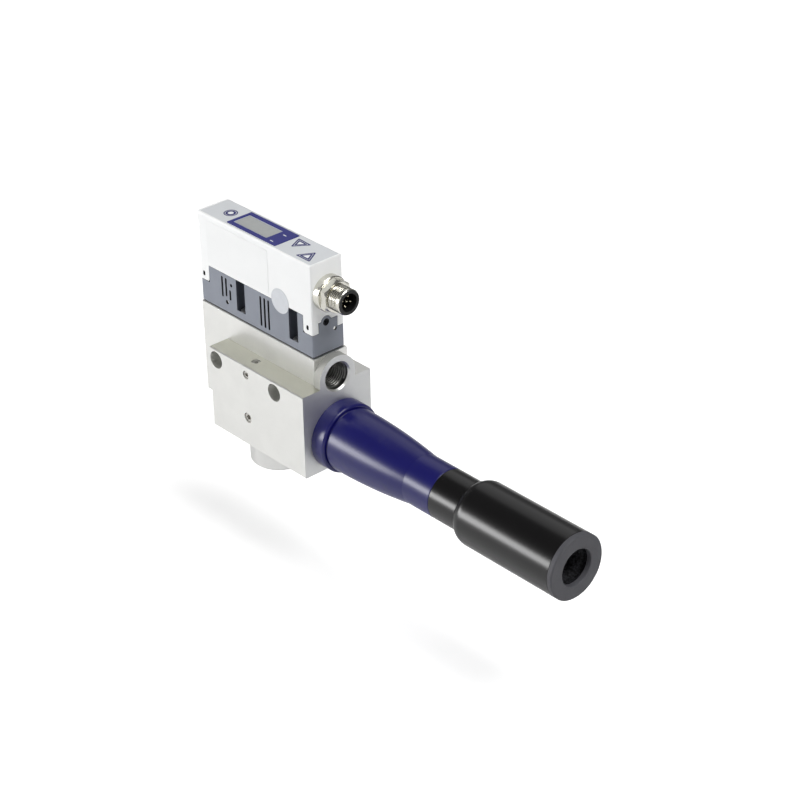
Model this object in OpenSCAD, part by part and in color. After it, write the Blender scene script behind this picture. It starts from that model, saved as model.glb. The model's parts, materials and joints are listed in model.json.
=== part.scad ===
// Compact vacuum ejector: aluminium body with a valve head on top, a turned nozzle housing
// along +X and an open silencer at its end. Sizes in millimetres.
// Working axes: X along the nozzle (0 at the block's end face, + towards the silencer), Y across,
// Z up from the nozzle axis. in_frame() carries them to the part's own origin, which lies midway
// between the two mounting holes on the back face of the block.

/* [Body] */
// Length of the thick block along the nozzle
block_len = 65.2; // [60:0.1:72]
// Nozzle axis to the front face of the block
block_front = 20.3; // [18:0.1:26]
// Nozzle axis to the back (mounting) face of the block
block_back = 19; // [18:0.1:26]
// Nozzle axis to the underside of the block
block_below = 15.8; // [15:0.1:20]
// Nozzle axis up to the two ledges of the block
ledge_up = 25.5; // [25:0.1:28]
// Length of the tall rail that carries the valve head
rail_len = 78.7; // [76:0.1:90]
// Width of the rail
rail_w = 19; // [18.4:0.1:22]
// Nozzle axis up to the top of the rail
rail_up = 38.6; // [38.2:0.1:44]
// Nozzle axis down to the underside of the overhanging rail
rail_down = 8.1; // [7:0.1:12]
// Rail end set back from the block's end face
rail_setback = 4.3; // [3:0.1:5]
// Broken edge along the block and rail
edge_break = 0.4; // [0.2:0.1:0.8]

/* [Mounting holes] */
// Distance between the two through holes
hole_pitch = 41; // [36:0.1:44]
// Diameter of the through holes
hole_d = 8.4; // [6.4:0.1:8.6]
// Block's end face to the nearer hole
hole_inset = 19.8; // [15:0.1:22]
// Nozzle axis up to the holes
hole_up = 20.1; // [18:0.1:20.4]

/* [Compressed air port] */
// Nozzle axis up to the air port
port_up = 28.6; // [28.4:0.1:32]
// Core diameter of the port thread (G1/4)
port_core_d = 11.445; // [8.5:0.005:11.5]
// Chamfer diameter at the port mouth
port_mouth_d = 14.5; // [13.2:0.1:16]
// Depth of the port thread
port_depth = 12; // [8:0.1:14]
// Diameter of the round boss about the port
port_boss_d = 20.4; // [18:0.1:20.6]
// Diameter of the air passage behind the port
feed_d = 6; // [4:0.1:6.4]

/* [Vacuum port] */
// Block's end face to the vacuum socket
socket_inset = 42.7; // [38:0.1:48]
// Outer diameter of the vacuum socket
socket_d = 28; // [26:0.1:30]
// Length of the socket below the block
socket_len = 15.1; // [15:0.1:22]
// Core diameter of the socket thread (G1/2)
socket_core_d = 18.63; // [14.95:0.01:18.7]
// Depth of the socket thread
socket_depth = 10.5; // [8:0.1:10.6]
// Diameter of the threaded spigot in the block
spigot_d = 22; // [21.4:0.1:23]
// Bore of the check valve chamber
check_bore_d = 18; // [16:0.1:18.4]
// Diameter of the check valve seat opening
check_seat_d = 10; // [7:0.1:11]
// Thickness of the web that forms the check valve seat
check_web = 2; // [1.5:0.1:2.2]
// Lift of the check valve
check_travel = 2; // [1:0.1:2.2]
// Thickness of the wire screen behind the thread
screen_t = 0.8; // [0.5:0.1:1]

/* [Main valve] */
// Rail's rear end to the valve bore
valve_inset = 10; // [9:0.1:12]
// Bore of the main valve
valve_bore_d = 13; // [12:0.1:14]
// Nozzle axis up to the valve seat
valve_seat_up = 14; // [10:0.1:18]
// Diameter of the opening in the valve seat
valve_seat_d = 8; // [6:0.1:9]
// Lift of the valve piston
valve_travel = 2.5; // [1.5:0.1:2.6]
// Height of the piston head
piston_head_h = 4.4; // [4:0.1:4.6]

/* [Nozzle line] */
// Diameter of the vacuum chamber
chamber_d = 20; // [18:0.1:22]
// Block's end face to the back of the vacuum chamber
chamber_back = 54; // [50:0.1:56]
// Diameter of the seat that holds the jet nozzle
jet_seat_d = 12; // [10:0.1:13]
// Length of the jet nozzle seat
jet_seat_len = 8; // [6:0.1:8.5]
// Throat of the jet nozzle
jet_throat_d = 3; // [1:0.1:3.6]
// Length of the jet nozzle in front of its seat
jet_reach = 31; // [26:0.1:32]
// Throat of the receiver nozzle
receiver_throat_d = 8; // [5:0.1:9]
// Outer diameter of the receiver nozzle
receiver_d = 18; // [17:0.1:18.4]

/* [Nozzle housing] */
// Diameter of the flange against the block
flange_d = 33; // [32:0.1:36]
// Length of the flange
flange_len = 8; // [6:0.1:8.4]
// Corner radius of the flange
flange_round = 1.2; // [0.6:0.1:1.8]
// Width of the groove behind the flange
groove_w = 1.1; // [0.6:0.1:1.6]
// Depth of that groove
groove_depth = 0.7; // [0.3:0.1:1.2]
// Diameter of the barrel where the flare begins
barrel_d = 30.2; // [29:0.1:31.5]
// Diameter of the waist
waist_d = 23.5; // [23:0.1:25]
// Block's end face to the corner where the waist begins
waist_at = 54; // [48:0.1:60]
// Length of the straight waist
waist_len = 16; // [10:0.1:24]
// Thread diameter of the spigot in the block
housing_spigot_d = 24; // [23:0.1:25]
// Length of the spigot in the block
housing_spigot_len = 13; // [10:0.1:14]
// Thread diameter of the spigot in the silencer
nose_d = 20; // [19:0.1:20.5]
// Length of the spigot in the silencer
nose_len = 9; // [6:0.1:10]

/* [Silencer] */
// Length of the silencer neck
neck_len = 14.5; // [12:0.1:20]
// Diameter of the silencer
silencer_d = 30; // [29:0.1:34]
// Radius of the silencer shoulder
shoulder_r = 11.7; // [8:0.1:14]
// Length of the silencer past its neck
muffler_len = 61.2; // [40:0.1:90]
// Wall of the silencer tube
silencer_wall = 1.6; // [1.2:0.1:2]
// Diameter of the open outlet
outlet_d = 16.8; // [14:0.1:18]
// Thickness of the end cap
cap_t = 2.4; // [1.6:0.1:4]
// Chamfer on the outer edge of the end cap
cap_chamfer = 0.5; // [0.2:0.1:1]

/* [Valve head] */
// Length of the head
head_len = 78; // [75:0.1:84]
// Width of the head
head_w = 18; // [17.6:0.1:18.4]
// Head's end face set back from the block's end face
head_setback = 5.3; // [4.5:0.1:5.6]
// Height of the valve base
base_h = 18.9; // [18:0.1:22]
// Height of the cover above the valve base
cover_h = 25.5; // [24:0.1:30]
// Thickness of the gasket under the valve base
gasket_t = 0.5; // [0.4:0.1:1]
// Wall of the cover
cover_wall = 1.3; // [1:0.1:1.6]
// Corner radius of the head
head_round = 0.8; // [0.4:0.1:1.4]
// Length of the cover's corner lugs
lug_len = 6; // [5:0.1:6.4]
// Reach of the lugs round the end faces
lug_side = 3.5; // [2.8:0.1:3.8]
// Drop of the lugs below the cover's edge
lug_drop = 8.2; // [7:0.1:9]
// Drop of the cover's end walls between the lugs
end_drop = 3.1; // [2:0.1:4]
// Shadow gap between cover and valve base
split_gap = 0.2; // [0.1:0.05:0.4]

/* [Vents and screws] */
// Width of a vent slot
slot_w = 1.2; // [0.7:0.1:1.3]
// Distance between vent slots
slot_pitch = 2.75; // [2.4:0.05:3]
// Length of the long vent slots
slot_len = 14.8; // [12:0.1:15]
// Width of the two screw slots
well_w = 6; // [5.8:0.1:6.4]
// Depth of the screw slots from the front face
well_depth = 6.1; // [5.9:0.1:6.4]
// Height of the front lip under each screw slot
well_sill = 3.6; // [3:0.1:4.2]
// Head's end face to the first screw slot
well_inset = 12.9; // [11:0.1:14]
// Distance between the screw slots
well_pitch = 36.6; // [35:0.1:38]
// Thread diameter of the head screws
head_screw_d = 3; // [2.5:0.1:3.5]
// Depth of the head screws in the rail
head_screw_depth = 6; // [5:0.1:7]
// Block's end face to the channel plugs
plug_inset = 39.5; // [36:0.1:42]
// Thread diameter of the small channel plugs
plug_d = 4; // [3:0.1:4.5]
// Thread diameter of the lower channel plug
big_plug_d = 5; // [4:0.1:6]

/* [Operating panel] */
// Length of the display frame
display_len = 33.5; // [30:0.1:36]
// Width of the display frame
display_w = 14.4; // [12:0.1:14.6]
// Head's end face to the display frame
display_inset = 25.7; // [24:0.1:28]
// Visible length of the liquid crystal panel
lcd_len = 23.2; // [20:0.1:26]
// Visible width of the liquid crystal panel
lcd_w = 9.6; // [8:0.1:10.4]
// Thickness of the foil on the cover
foil_t = 0.3; // [0.2:0.05:0.4]

/* [Connector] */
// Nozzle axis up to the plug connector
plug_up = 68.5; // [67:0.1:71]
// Thread diameter of the connector (M12)
m12_d = 12; // [10:0.1:12.4]
// Diameter of the round collar against the cover
collar_d = 16.6; // [15:0.1:17]
// Length of the collar
collar_len = 3.6; // [2:0.1:4]
// Width across flats of the hexagon
hex_af = 14.2; // [13:0.1:14.4]
// Length of the hexagon
hex_len = 3.6; // [2:0.1:4]
// Length of the threaded barrel
barrel_len = 7.1; // [5:0.1:9]
// Length by which the black insert stands out of the barrel
insert_len = 0.35; // [0.2:0.05:1]
// Radius of the contact circle
contact_r = 2.4; // [2:0.1:3.1]
// Diameter of a contact
contact_d = 1; // [0.8:0.1:1.2]

/* [Fits] */
// Radial clearance of fixed pieces
fit_gap = 0.05; // [0.02:0.01:0.1]
// Radial clearance of sliding pieces
slide_gap = 0.06; // [0.03:0.01:0.1]

/* [Hidden] */
$fn = 96;
eps = 0.01;
big = 200;

// Body, along X
rail_end = -rail_setback;
rail_rear = rail_end - rail_len;
valve_x = rail_rear + valve_inset;
socket_x = -socket_inset;
channel_x = -plug_inset;
plug_up_z = hole_up + 0.9;
low_plug_z = -1.1;
feed_run_d = valve_seat_d - 1;

// Vacuum socket, along Z
socket_low = -block_below - socket_len;
thread_top = socket_low + socket_depth;
web_low = thread_top + screen_t;
screen_r = socket_core_d / 2 - 0.45;
check_seat = web_low + check_web;
poppet_t = 1.6;
guide_t = 1.5;
guide_low = check_seat + poppet_t + check_travel + 1.2;
spigot_top = guide_low + guide_t + 0.1;
poppet_d = check_seat_d + 3.4;
guide_stem_d = 3;
guide_hub_d = 5.2;

// Main valve, along Z
head_low = rail_up + gasket_t;
piston_top = head_low - valve_travel - 0.2;
piston_low = piston_top - piston_head_h;
cup_d = valve_bore_d - 5;
cup_depth = piston_head_h - 1;
valve_oring_r = 0.65;

// Nozzle line, along X
waist_end = waist_at + waist_len;
corner_step = 0.03;
flare_drop = (barrel_d - waist_d) / 2 - corner_step;
flare_run = waist_at - flange_len;
flare_r = (pow(flare_run, 2) + pow(flare_drop, 2)) / (2 * flare_drop);
receiver_back = housing_spigot_len + 7;
receiver_front = waist_end - 10;
receiver_out_d = receiver_d - 3.2;
oring_r = 0.7;

// Silencer, along X
neck_end = waist_end + neck_len;
shoulder_drop = (silencer_d - waist_d) / 2;
shoulder_run = sqrt(pow(shoulder_r, 2) - pow(shoulder_r - shoulder_drop, 2));
tube_start = neck_end + shoulder_run;
silencer_end = neck_end + muffler_len;
cap_start = silencer_end - cap_t;
cap_lip = 3;
foam_d = silencer_d - 2 * silencer_wall;

// Head, along X and Z
head_end = -head_setback;
head_rear = head_end - head_len;
split_up = head_low + base_h;
head_top = split_up + cover_h;
lug_low = split_up - lug_drop;
end_low = split_up - end_drop;
foil_low = head_top - foil_t;
deck_t = 1.2;
deck_low = foil_low - deck_t;
well_x = [head_end - well_inset, head_end - well_inset - well_pitch];
well_y = -head_w / 2 + well_depth - well_w / 2;
well_floor = 1.6;
pan_h = 2;
tongue_y = [-head_w / 2 + lug_side + 0.1, head_w / 2 - lug_side + 0.2];
tongue_screw = [-1.1, end_low - 0.9];
tongue_boss_r = 2.9;
tongue_screw_d = 2.2;
key_y = 0.2;
display_end = head_end - display_inset;
display_mid = display_end - display_len / 2;
lcd_mid = display_end - display_len + 1.7 + lcd_len / 2;
ring_key_x = display_end - display_len - 5.9;
up_key = [display_end + 5.7, 2.6];
down_key = [display_end + 17.3, -3.4];
key_at = [[ring_key_x, key_y], up_key, down_key];
dome_r = 1.9;
dome_h = 0.35;
board_top = deck_low - 3.9;
board_t = 1.2;
pilot_size = [12, 12, 29];
pilot_x = [head_end - well_inset - 18, head_end - well_inset - 50.3];
cell_len = 17;
cell_wall = 1.7;
cell_floor = head_low + 4.6;
sensor_x = pilot_x[0] + 9.6;
sensor_size = [4.4, 4.6, 6];
sensor_duct_y = 5.5;
sensor_duct_r = 0.8;
blow_duct_y = -6;
blow_duct_r = 1.2;
cross_duct_r = 1;
slot_top = split_up - 1.9;
latch_w = 1.5;
latch_depth = 3.4;

// Connector, along X
collar_end = head_end + collar_len;
hex_end = collar_end + hex_len;
thread_end = hex_end + barrel_len;
insert_end = thread_end + insert_len;
shell_bore_d = m12_d - 2.2;
shell_tail_d = m12_d - 1.1;
barrel_chamfer = 0.35;
shell_rear = head_end - 9;
cavity_d = shell_bore_d - 1.4;
label_t = 0.15;

// ---- placing and form helpers -------------------------------------------------------------

// Carries the working axes to the part's own origin
module in_frame() {
    translate([hole_inset + hole_pitch / 2, -block_back, -hole_up]) children();
}

// Block between two opposite corners
module slab(low, high) {
    translate(low) cube(high - low);
}

// Profile drawn in (y, z) and run along X
module along_x(from, to) {
    translate([from, 0, 0]) rotate([90, 0, 90]) linear_extrude(to - from) children();
}

// Profile drawn in (x, z) and run along Y
module along_y(from, to) {
    translate([0, to, 0]) rotate([90, 0, 0]) linear_extrude(to - from) children();
}

// Profile drawn in (radius, x) and turned about X
module turned() {
    rotate([0, 90, 0]) rotate_extrude() children();
}

// Round rod or hole along X, Y or Z
module rod_x(from, to, r) {
    translate([from, 0, 0]) rotate([0, 90, 0]) cylinder(h = to - from, r = r);
}
module rod_y(from, to, r) {
    translate([0, to, 0]) rotate([90, 0, 0]) cylinder(h = to - from, r = r);
}
module rod_z(from, to, r) {
    translate([0, 0, from]) cylinder(h = to - from, r = r);
}

// Rectangle with its four corners cut at 45 degrees
module chamfered(low, high, c) {
    polygon([[low[0] + c, low[1]], [high[0] - c, low[1]], [high[0], low[1] + c],
        [high[0], high[1] - c], [high[0] - c, high[1]], [low[0] + c, high[1]],
        [low[0], high[1] - c], [low[0], low[1] + c]]);
}

// Rectangle with round corners
module rounded(low, high, r) {
    translate([low[0] + r, low[1]]) square([high[0] - low[0] - 2 * r, high[1] - low[1]]);
    translate([low[0], low[1] + r]) square([high[0] - low[0], high[1] - low[1] - 2 * r]);
    for (x = [low[0] + r, high[0] - r], y = [low[1] + r, high[1] - r])
        translate([x, y]) circle(r = r, $fn = 32);
}

// Slot with a round end at each side, upright in a (x, z) profile
module upright_slot(x, low, high, w) {
    translate([x - w / 2, low + w / 2]) square([w, high - low - w]);
    for (z = [low + w / 2, high - w / 2]) translate([x, z]) circle(d = w, $fn = 24);
}

// Open coil spring that stands on z = 0
module coil(mean_r, wire_r, len, turns) {
    sides = 6;
    steps = turns * 14;
    points = [for (i = [0:steps], k = [0:sides - 1])
        let (a = 360 * turns * i / steps, b = 360 * k / sides,
            r = mean_r + wire_r * cos(b))
        [r * cos(a), r * sin(a), wire_r + (len - 2 * wire_r) * i / steps + wire_r * sin(b)]];
    walls = [for (i = [0:steps - 1], k = [0:sides - 1])
        let (n = (k + 1) % sides, p = i * sides, q = p + sides)
        [p + k, p + n, q + n, q + k]];
    start = [for (k = [sides - 1:-1:0]) k];
    finish = [for (k = [0:sides - 1]) steps * sides + k];
    polyhedron(points, concat(walls, [start, finish]));
}

// Socket screw along -Z from its top at z = 0: head, shank and hexagon socket
module pan_screw(d, head_d, head_h, len, socket_af) {
    difference() {
        union() {
            rod_z(-head_h, -0.3, head_d / 2);
            translate([0, 0, -0.3]) cylinder(h = 0.3, r1 = head_d / 2, r2 = head_d / 2 - 0.3);
            rod_z(-head_h - len, -head_h, d / 2);
        }
        translate([0, 0, -head_h * 0.6]) cylinder(h = head_h, d = socket_af / cos(30), $fn = 6);
    }
}

// Grub screw along -Z with a hexagon socket
module grub_screw(d, len) {
    difference() {
        union() {
            rod_z(-len, -0.3, d / 2);
            translate([0, 0, -0.3]) cylinder(h = 0.3, r1 = d / 2, r2 = d / 2 - 0.3);
        }
        translate([0, 0, -len / 2]) cylinder(h = len, d = d * 0.5 / cos(30), $fn = 6);
    }
}

// ---- body ---------------------------------------------------------------------------------

// Outer form of the body: block, rail and the boss about the air port
module body_form() {
    along_x(-block_len, 0)
        chamfered([-block_front, -block_below], [block_back, ledge_up], edge_break);
    along_x(rail_rear, rail_end)
        chamfered([-rail_w / 2, -rail_down], [rail_w / 2, rail_up], edge_break);
    translate([0, 0, port_up]) rod_x(rail_end, 0, port_boss_d / 2);
    slab([rail_end, -port_boss_d / 2, ledge_up - 1], [0, port_boss_d / 2, port_up]);
}

// Stepped bore along the nozzle axis, drilled from the end face
module nozzle_bore() {
    rod_x(-housing_spigot_len - 0.2, 1, housing_spigot_d / 2);
    translate([-1.2, 0, 0]) rotate([0, 90, 0])
        cylinder(h = 1.2 + eps, r1 = housing_spigot_d / 2, r2 = housing_spigot_d / 2 + 1.2);
    rod_x(-chamber_back, 0, chamber_d / 2);
    rod_x(-chamber_back - jet_seat_len, -chamber_back + eps, jet_seat_d / 2);
    rod_x(valve_x - 1, -chamber_back - jet_seat_len + eps, feed_run_d / 2);
}

// Threaded air inlet and the passage behind it
module air_inlet() {
    translate([0, 0, port_up]) {
        rod_x(-port_depth, 1, port_core_d / 2);
        translate([-(port_mouth_d - port_core_d) / 2, 0, 0]) rotate([0, 90, 0])
            cylinder(h = (port_mouth_d - port_core_d) / 2 + eps, d1 = port_core_d,
                d2 = port_mouth_d + 2 * eps);
        rod_x(valve_x, -port_depth + eps, feed_d / 2);
    }
}

// Bore of the main valve with its seat and the drop to the nozzle
module valve_bore() {
    translate([valve_x, 0, 0]) {
        rod_z(valve_seat_up, rail_up + 1, valve_bore_d / 2);
        rod_z(-feed_run_d / 4, valve_seat_up + eps, valve_seat_d / 2);
    }
}

// Blow-off channel: drilled from three faces, each mouth closed by a plug
module blow_channel() {
    plug_y = -(block_front + rail_w / 2) / 2 + 0.8;
    translate([channel_x, blow_duct_y, 0]) rod_z(plug_up_z - 0.6, rail_up + 1, blow_duct_r);
    translate([channel_x, 0, plug_up_z]) {
        rod_y(-block_front - 1, blow_duct_y + 0.5, cross_duct_r);
        rod_y(-block_front - 1, -block_front + plug_d, plug_d / 2);
    }
    translate([channel_x, plug_y, 0]) {
        rod_z(low_plug_z - 0.6, ledge_up + 1, blow_duct_r);
        rod_z(ledge_up - 3, ledge_up + 1, plug_d / 2);
    }
    translate([channel_x, 0, low_plug_z]) {
        rod_y(-block_front - 1, -chamber_d / 2 + 2, cross_duct_r);
        rod_y(-block_front - 1, -block_front + big_plug_d - 0.6, big_plug_d / 2);
    }
}

module body_block() {
    color("#d6d7d4") difference() {
        body_form();
        nozzle_bore();
        air_inlet();
        valve_bore();
        blow_channel();
        for (i = [0, 1]) translate([-hole_inset - i * hole_pitch, 0, hole_up])
            rod_y(-block_front - 1, block_back + 1, hole_d / 2);
        translate([socket_x, 0, 0]) {
            rod_z(-block_below - 1, spigot_top + 0.2, spigot_d / 2);
            rod_z(-block_below, -2.5, check_bore_d / 2);
        }
        translate([sensor_x, sensor_duct_y, 0]) rod_z(0, rail_up + 1, sensor_duct_r);
        for (x = well_x) translate([x, well_y, 0])
            rod_z(rail_up - head_screw_depth - 1, rail_up + 1, head_screw_d / 2);
    }
}

module channel_plugs() {
    plug_y = -(block_front + rail_w / 2) / 2 + 0.8;
    color("#b9b8b2") {
        translate([channel_x, -block_front + 0.5, plug_up_z]) rotate([90, 0, 0])
            grub_screw(plug_d - 2 * fit_gap, plug_d - 0.6);
        translate([channel_x, plug_y, ledge_up - 0.4])
            grub_screw(plug_d - 2 * fit_gap, 2.6);
        translate([channel_x, -block_front + 0.5, low_plug_z]) rotate([90, 0, 0])
            grub_screw(big_plug_d - 2 * fit_gap, big_plug_d - 1.3);
    }
}

// ---- vacuum port and check valve ----------------------------------------------------------

module vacuum_socket() {
    color("#cfd0cd") translate([socket_x, 0, 0]) difference() {
        union() {
            rod_z(socket_low + 0.6, -block_below, socket_d / 2);
            translate([0, 0, socket_low])
                cylinder(h = 0.6, r1 = socket_d / 2 - 0.6, r2 = socket_d / 2);
            rod_z(-block_below, spigot_top, spigot_d / 2 - fit_gap);
        }
        rod_z(socket_low - 1, thread_top, socket_core_d / 2);
        rod_z(thread_top - 1, web_low, screen_r);
        translate([0, 0, socket_low - eps])
            cylinder(h = 1.2, r1 = socket_core_d / 2 + 1.2, r2 = socket_core_d / 2);
        rod_z(web_low - 1, check_seat + 1, check_seat_d / 2);
        rod_z(check_seat, spigot_top + 1, check_bore_d / 2);
    }
}

module port_screen() {
    ring_r = screen_r - fit_gap;
    color("#a9aaa8") translate([socket_x, 0, 0]) difference() {
        rod_z(thread_top, web_low, ring_r);
        rod_z(thread_top - 1, web_low + 1, 0.75);
        for (ring = [1, 2, 3], k = [0:6 * ring - 1]) rotate([0, 0, 60 * k / ring])
            translate([ring_r * 0.25 * ring, 0, 0]) rod_z(thread_top - 1, web_low + 1, 0.75);
    }
}

module check_guide() {
    color("#8f9498") translate([socket_x, 0, 0]) difference() {
        union() {
            difference() {
                rod_z(guide_low, guide_low + guide_t, check_bore_d / 2 - fit_gap);
                rod_z(guide_low - 1, guide_low + guide_t + 1, check_bore_d / 2 - 1.2);
            }
            rod_z(guide_low, guide_low + guide_t, guide_hub_d / 2);
            for (a = [0, 120, 240]) rotate([0, 0, a])
                slab([0, -0.6, guide_low], [check_bore_d / 2 - 0.6, 0.6, guide_low + guide_t]);
        }
        rod_z(guide_low - 1, guide_low + guide_t + 1, guide_stem_d / 2 + slide_gap);
    }
}

module check_poppet() {
    color("#2b2b2b") translate([socket_x, 0, 0]) {
        rod_z(check_seat, check_seat + poppet_t - 0.5, poppet_d / 2);
        translate([0, 0, check_seat + poppet_t - 0.5])
            cylinder(h = 0.5, r1 = poppet_d / 2, r2 = poppet_d / 2 - 1);
        rod_z(check_seat, guide_low + guide_t + 0.4, guide_stem_d / 2);
    }
}

module check_spring() {
    color("#c8c8c4") translate([socket_x, 0, check_seat + poppet_t])
        coil(guide_stem_d / 2 + 0.75, 0.25, guide_low - check_seat - poppet_t, 3);
}

// ---- main valve ---------------------------------------------------------------------------

module valve_piston() {
    r = valve_bore_d / 2 - slide_gap;
    groove_r = valve_bore_d / 2 - 2 * valve_oring_r - 0.1;
    groove_w = 2 * valve_oring_r + 0.2;
    mid = (piston_low + piston_top) / 2;
    color("#4a4d52") translate([valve_x, 0, 0]) difference() {
        union() {
            rod_z(piston_low, piston_top, r);
            rod_z(valve_seat_up, piston_low + 0.1, 2.2);
            rod_z(valve_seat_up, valve_seat_up + 2.4, valve_seat_d / 2 + 1.3);
        }
        rotate_extrude() translate([groove_r, mid - groove_w / 2]) square([r, groove_w]);
        rod_z(piston_top - cup_depth, piston_top + 1, cup_d / 2);
    }
}

module piston_oring() {
    color("#1c1c1c") translate([valve_x, 0, (piston_low + piston_top) / 2]) rotate_extrude()
        translate([valve_bore_d / 2 - slide_gap - valve_oring_r, 0])
            circle(r = valve_oring_r - 0.02, $fn = 24);
}

module valve_spring() {
    floor_z = piston_top - cup_depth;
    color("#c8c8c4") translate([valve_x, 0, floor_z])
        coil(cup_d / 2 - 0.7, 0.35, head_low - floor_z, 4);
}

// ---- nozzle line --------------------------------------------------------------------------

// Jet nozzle: threaded foot in its seat, slim stem and converging-diverging bore
module jet_nozzle() {
    foot = -chamber_back - jet_seat_len;
    tip = -chamber_back + jet_reach;
    throat = tip - 5;
    color("#b98d45") turned() difference() {
        union() {
            translate([0, foot]) square([jet_seat_d / 2 - fit_gap, jet_seat_len]);
            translate([0, foot]) square([4.4, jet_seat_len + jet_reach - 9]);
            polygon([[0, tip - 9.1], [4.4, tip - 9.1], [4.4, tip - 9], [2.6, tip], [0, tip]]);
        }
        polygon([[-1, foot - 1], [3.6, foot - 1], [3.6, foot + 3], [jet_throat_d / 2, throat],
            [jet_throat_d / 2 + 0.4, tip + eps], [-1, tip + eps]]);
    }
}

// Receiver nozzle: bell mouth, throat and long diffuser in one turned piece
module receiver_nozzle() {
    back = -receiver_back;
    color("#c9c4b4") turned() difference() {
        union() {
            translate([0, back]) square([receiver_d / 2 - 0.5, receiver_front - back]);
            translate([0, back + 0.5]) square([receiver_d / 2 - fit_gap, receiver_front - back - 0.5]);
            translate([0, -housing_spigot_len - 3]) square([chamber_d / 2 - 0.2, 3]);
        }
        polygon([[-1, back - eps], [receiver_throat_d / 2 + 3, back - eps],
            [receiver_throat_d / 2 + 1.4, back + 3], [receiver_throat_d / 2 + 0.4, back + 7],
            [receiver_throat_d / 2, back + 12], [receiver_throat_d / 2, 8],
            [receiver_out_d / 2, receiver_front + eps], [-1, receiver_front + eps]]);
    }
}

// Outer profile of the nozzle housing: flange, groove, arc of the flare and straight waist
module housing_profile() {
    difference() {
        union() {
            square([flange_d / 2 - flange_round, flange_len]);
            square([flange_d / 2, flange_len - flange_round]);
            translate([flange_d / 2 - flange_round, flange_len - flange_round])
                circle(r = flange_round, $fn = 48);
            intersection() {
                translate([barrel_d / 2 - flare_r, flange_len]) circle(r = flare_r, $fn = 1440);
                square([barrel_d, waist_at]);
            }
            square([waist_d / 2, waist_end]);
            translate([0, -housing_spigot_len])
                square([housing_spigot_d / 2 - fit_gap, housing_spigot_len + 1]);
            translate([0, waist_end - 1]) square([nose_d / 2 - fit_gap, nose_len + 1]);
        }
        translate([barrel_d / 2 - groove_depth, flange_len]) square([flange_d, groove_w]);
    }
}

module nozzle_housing() {
    groove_r = housing_spigot_d / 2 - 2 * oring_r - 0.1;
    color("#20206e") turned() difference() {
        housing_profile();
        translate([-1, -housing_spigot_len - 1])
            square([receiver_d / 2 + 1, housing_spigot_len + 1 + receiver_front]);
        translate([-1, 0]) square([receiver_out_d / 2 + 1, waist_end + nose_len + 1]);
        translate([groove_r, -4]) square([flange_d, 2 * oring_r + 0.3]);
    }
}

module housing_oring() {
    color("#1c1c1c") turned()
        translate([housing_spigot_d / 2 - fit_gap - oring_r, oring_r + 0.15 - 4])
            circle(r = oring_r - 0.02, $fn = 24);
}

// Silencer housing: threaded neck, arc of the shoulder and thin tube
module silencer_body() {
    color("#17171a") turned() difference() {
        union() {
            translate([0, waist_end]) square([waist_d / 2, neck_len + 1]);
            intersection() {
                translate([silencer_d / 2 - shoulder_r, tube_start])
                    circle(r = shoulder_r, $fn = 240);
                translate([0, neck_end]) square([silencer_d, shoulder_run + 1]);
            }
            translate([0, neck_end]) square([waist_d / 2, shoulder_run]);
            translate([0, tube_start]) square([silencer_d / 2, cap_start - tube_start]);
        }
        translate([-1, waist_end - 1]) square([nose_d / 2 + 1, nose_len + 1.4]);
        translate([-1, waist_end]) square([outlet_d / 2 + 1, muffler_len + neck_len]);
        translate([-1, tube_start]) square([foam_d / 2 + 1, muffler_len]);
    }
}

module silencer_foam() {
    color("#35353a") difference() {
        rod_x(tube_start + 0.1, cap_start - cap_lip - 0.1, foam_d / 2 - fit_gap);
        rod_x(tube_start - 1, cap_start + 1, outlet_d / 2);
    }
}

module silencer_cap() {
    color("#3a3a3e") turned() difference() {
        union() {
            translate([0, cap_start]) square([silencer_d / 2 - cap_chamfer, cap_t]);
            polygon([[0, cap_start], [silencer_d / 2, cap_start],
                [silencer_d / 2, silencer_end - cap_chamfer],
                [silencer_d / 2 - cap_chamfer, silencer_end], [0, silencer_end]]);
            translate([0, cap_start - cap_lip]) square([foam_d / 2 - fit_gap, cap_lip + 1]);
        }
        translate([-1, cap_start - cap_lip - 1]) square([outlet_d / 2 + 1, cap_lip + cap_t + 2]);
    }
}

// ---- valve head ---------------------------------------------------------------------------

// Plan of the head, drawn in (x, y) and drawn in by a margin
module head_plan(in = 0) {
    rounded([head_rear + in, -head_w / 2 + in], [head_end - in, head_w / 2 - in],
        max(head_round - in, 0.3));
}

// Open screw slot: straight mouth to the front face and a round back
module screw_slot(x, from) {
    translate([x, well_y, from]) cylinder(h = big, d = well_w);
}

// Ducts that pass through gasket and floor of the valve base
module floor_ducts() {
    translate([valve_x, 0, 0]) rod_z(0, big, 0.8);
    translate([channel_x, blow_duct_y, 0]) rod_z(0, big, blow_duct_r);
    translate([sensor_x, sensor_duct_y, 0]) rod_z(0, big, sensor_duct_r);
}

module base_gasket() {
    color("#26282b") difference() {
        translate([0, 0, rail_up]) linear_extrude(gasket_t) head_plan(0.5);
        translate([valve_x, 0, 0]) rod_z(0, big, valve_bore_d / 2);
        translate([channel_x, blow_duct_y, 0]) rod_z(0, big, blow_duct_r);
        translate([sensor_x, sensor_duct_y, 0]) rod_z(0, big, sensor_duct_r);
        for (x = well_x) translate([x, well_y, 0]) rod_z(0, big, head_screw_d / 2 + 0.2);
    }
}

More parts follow.
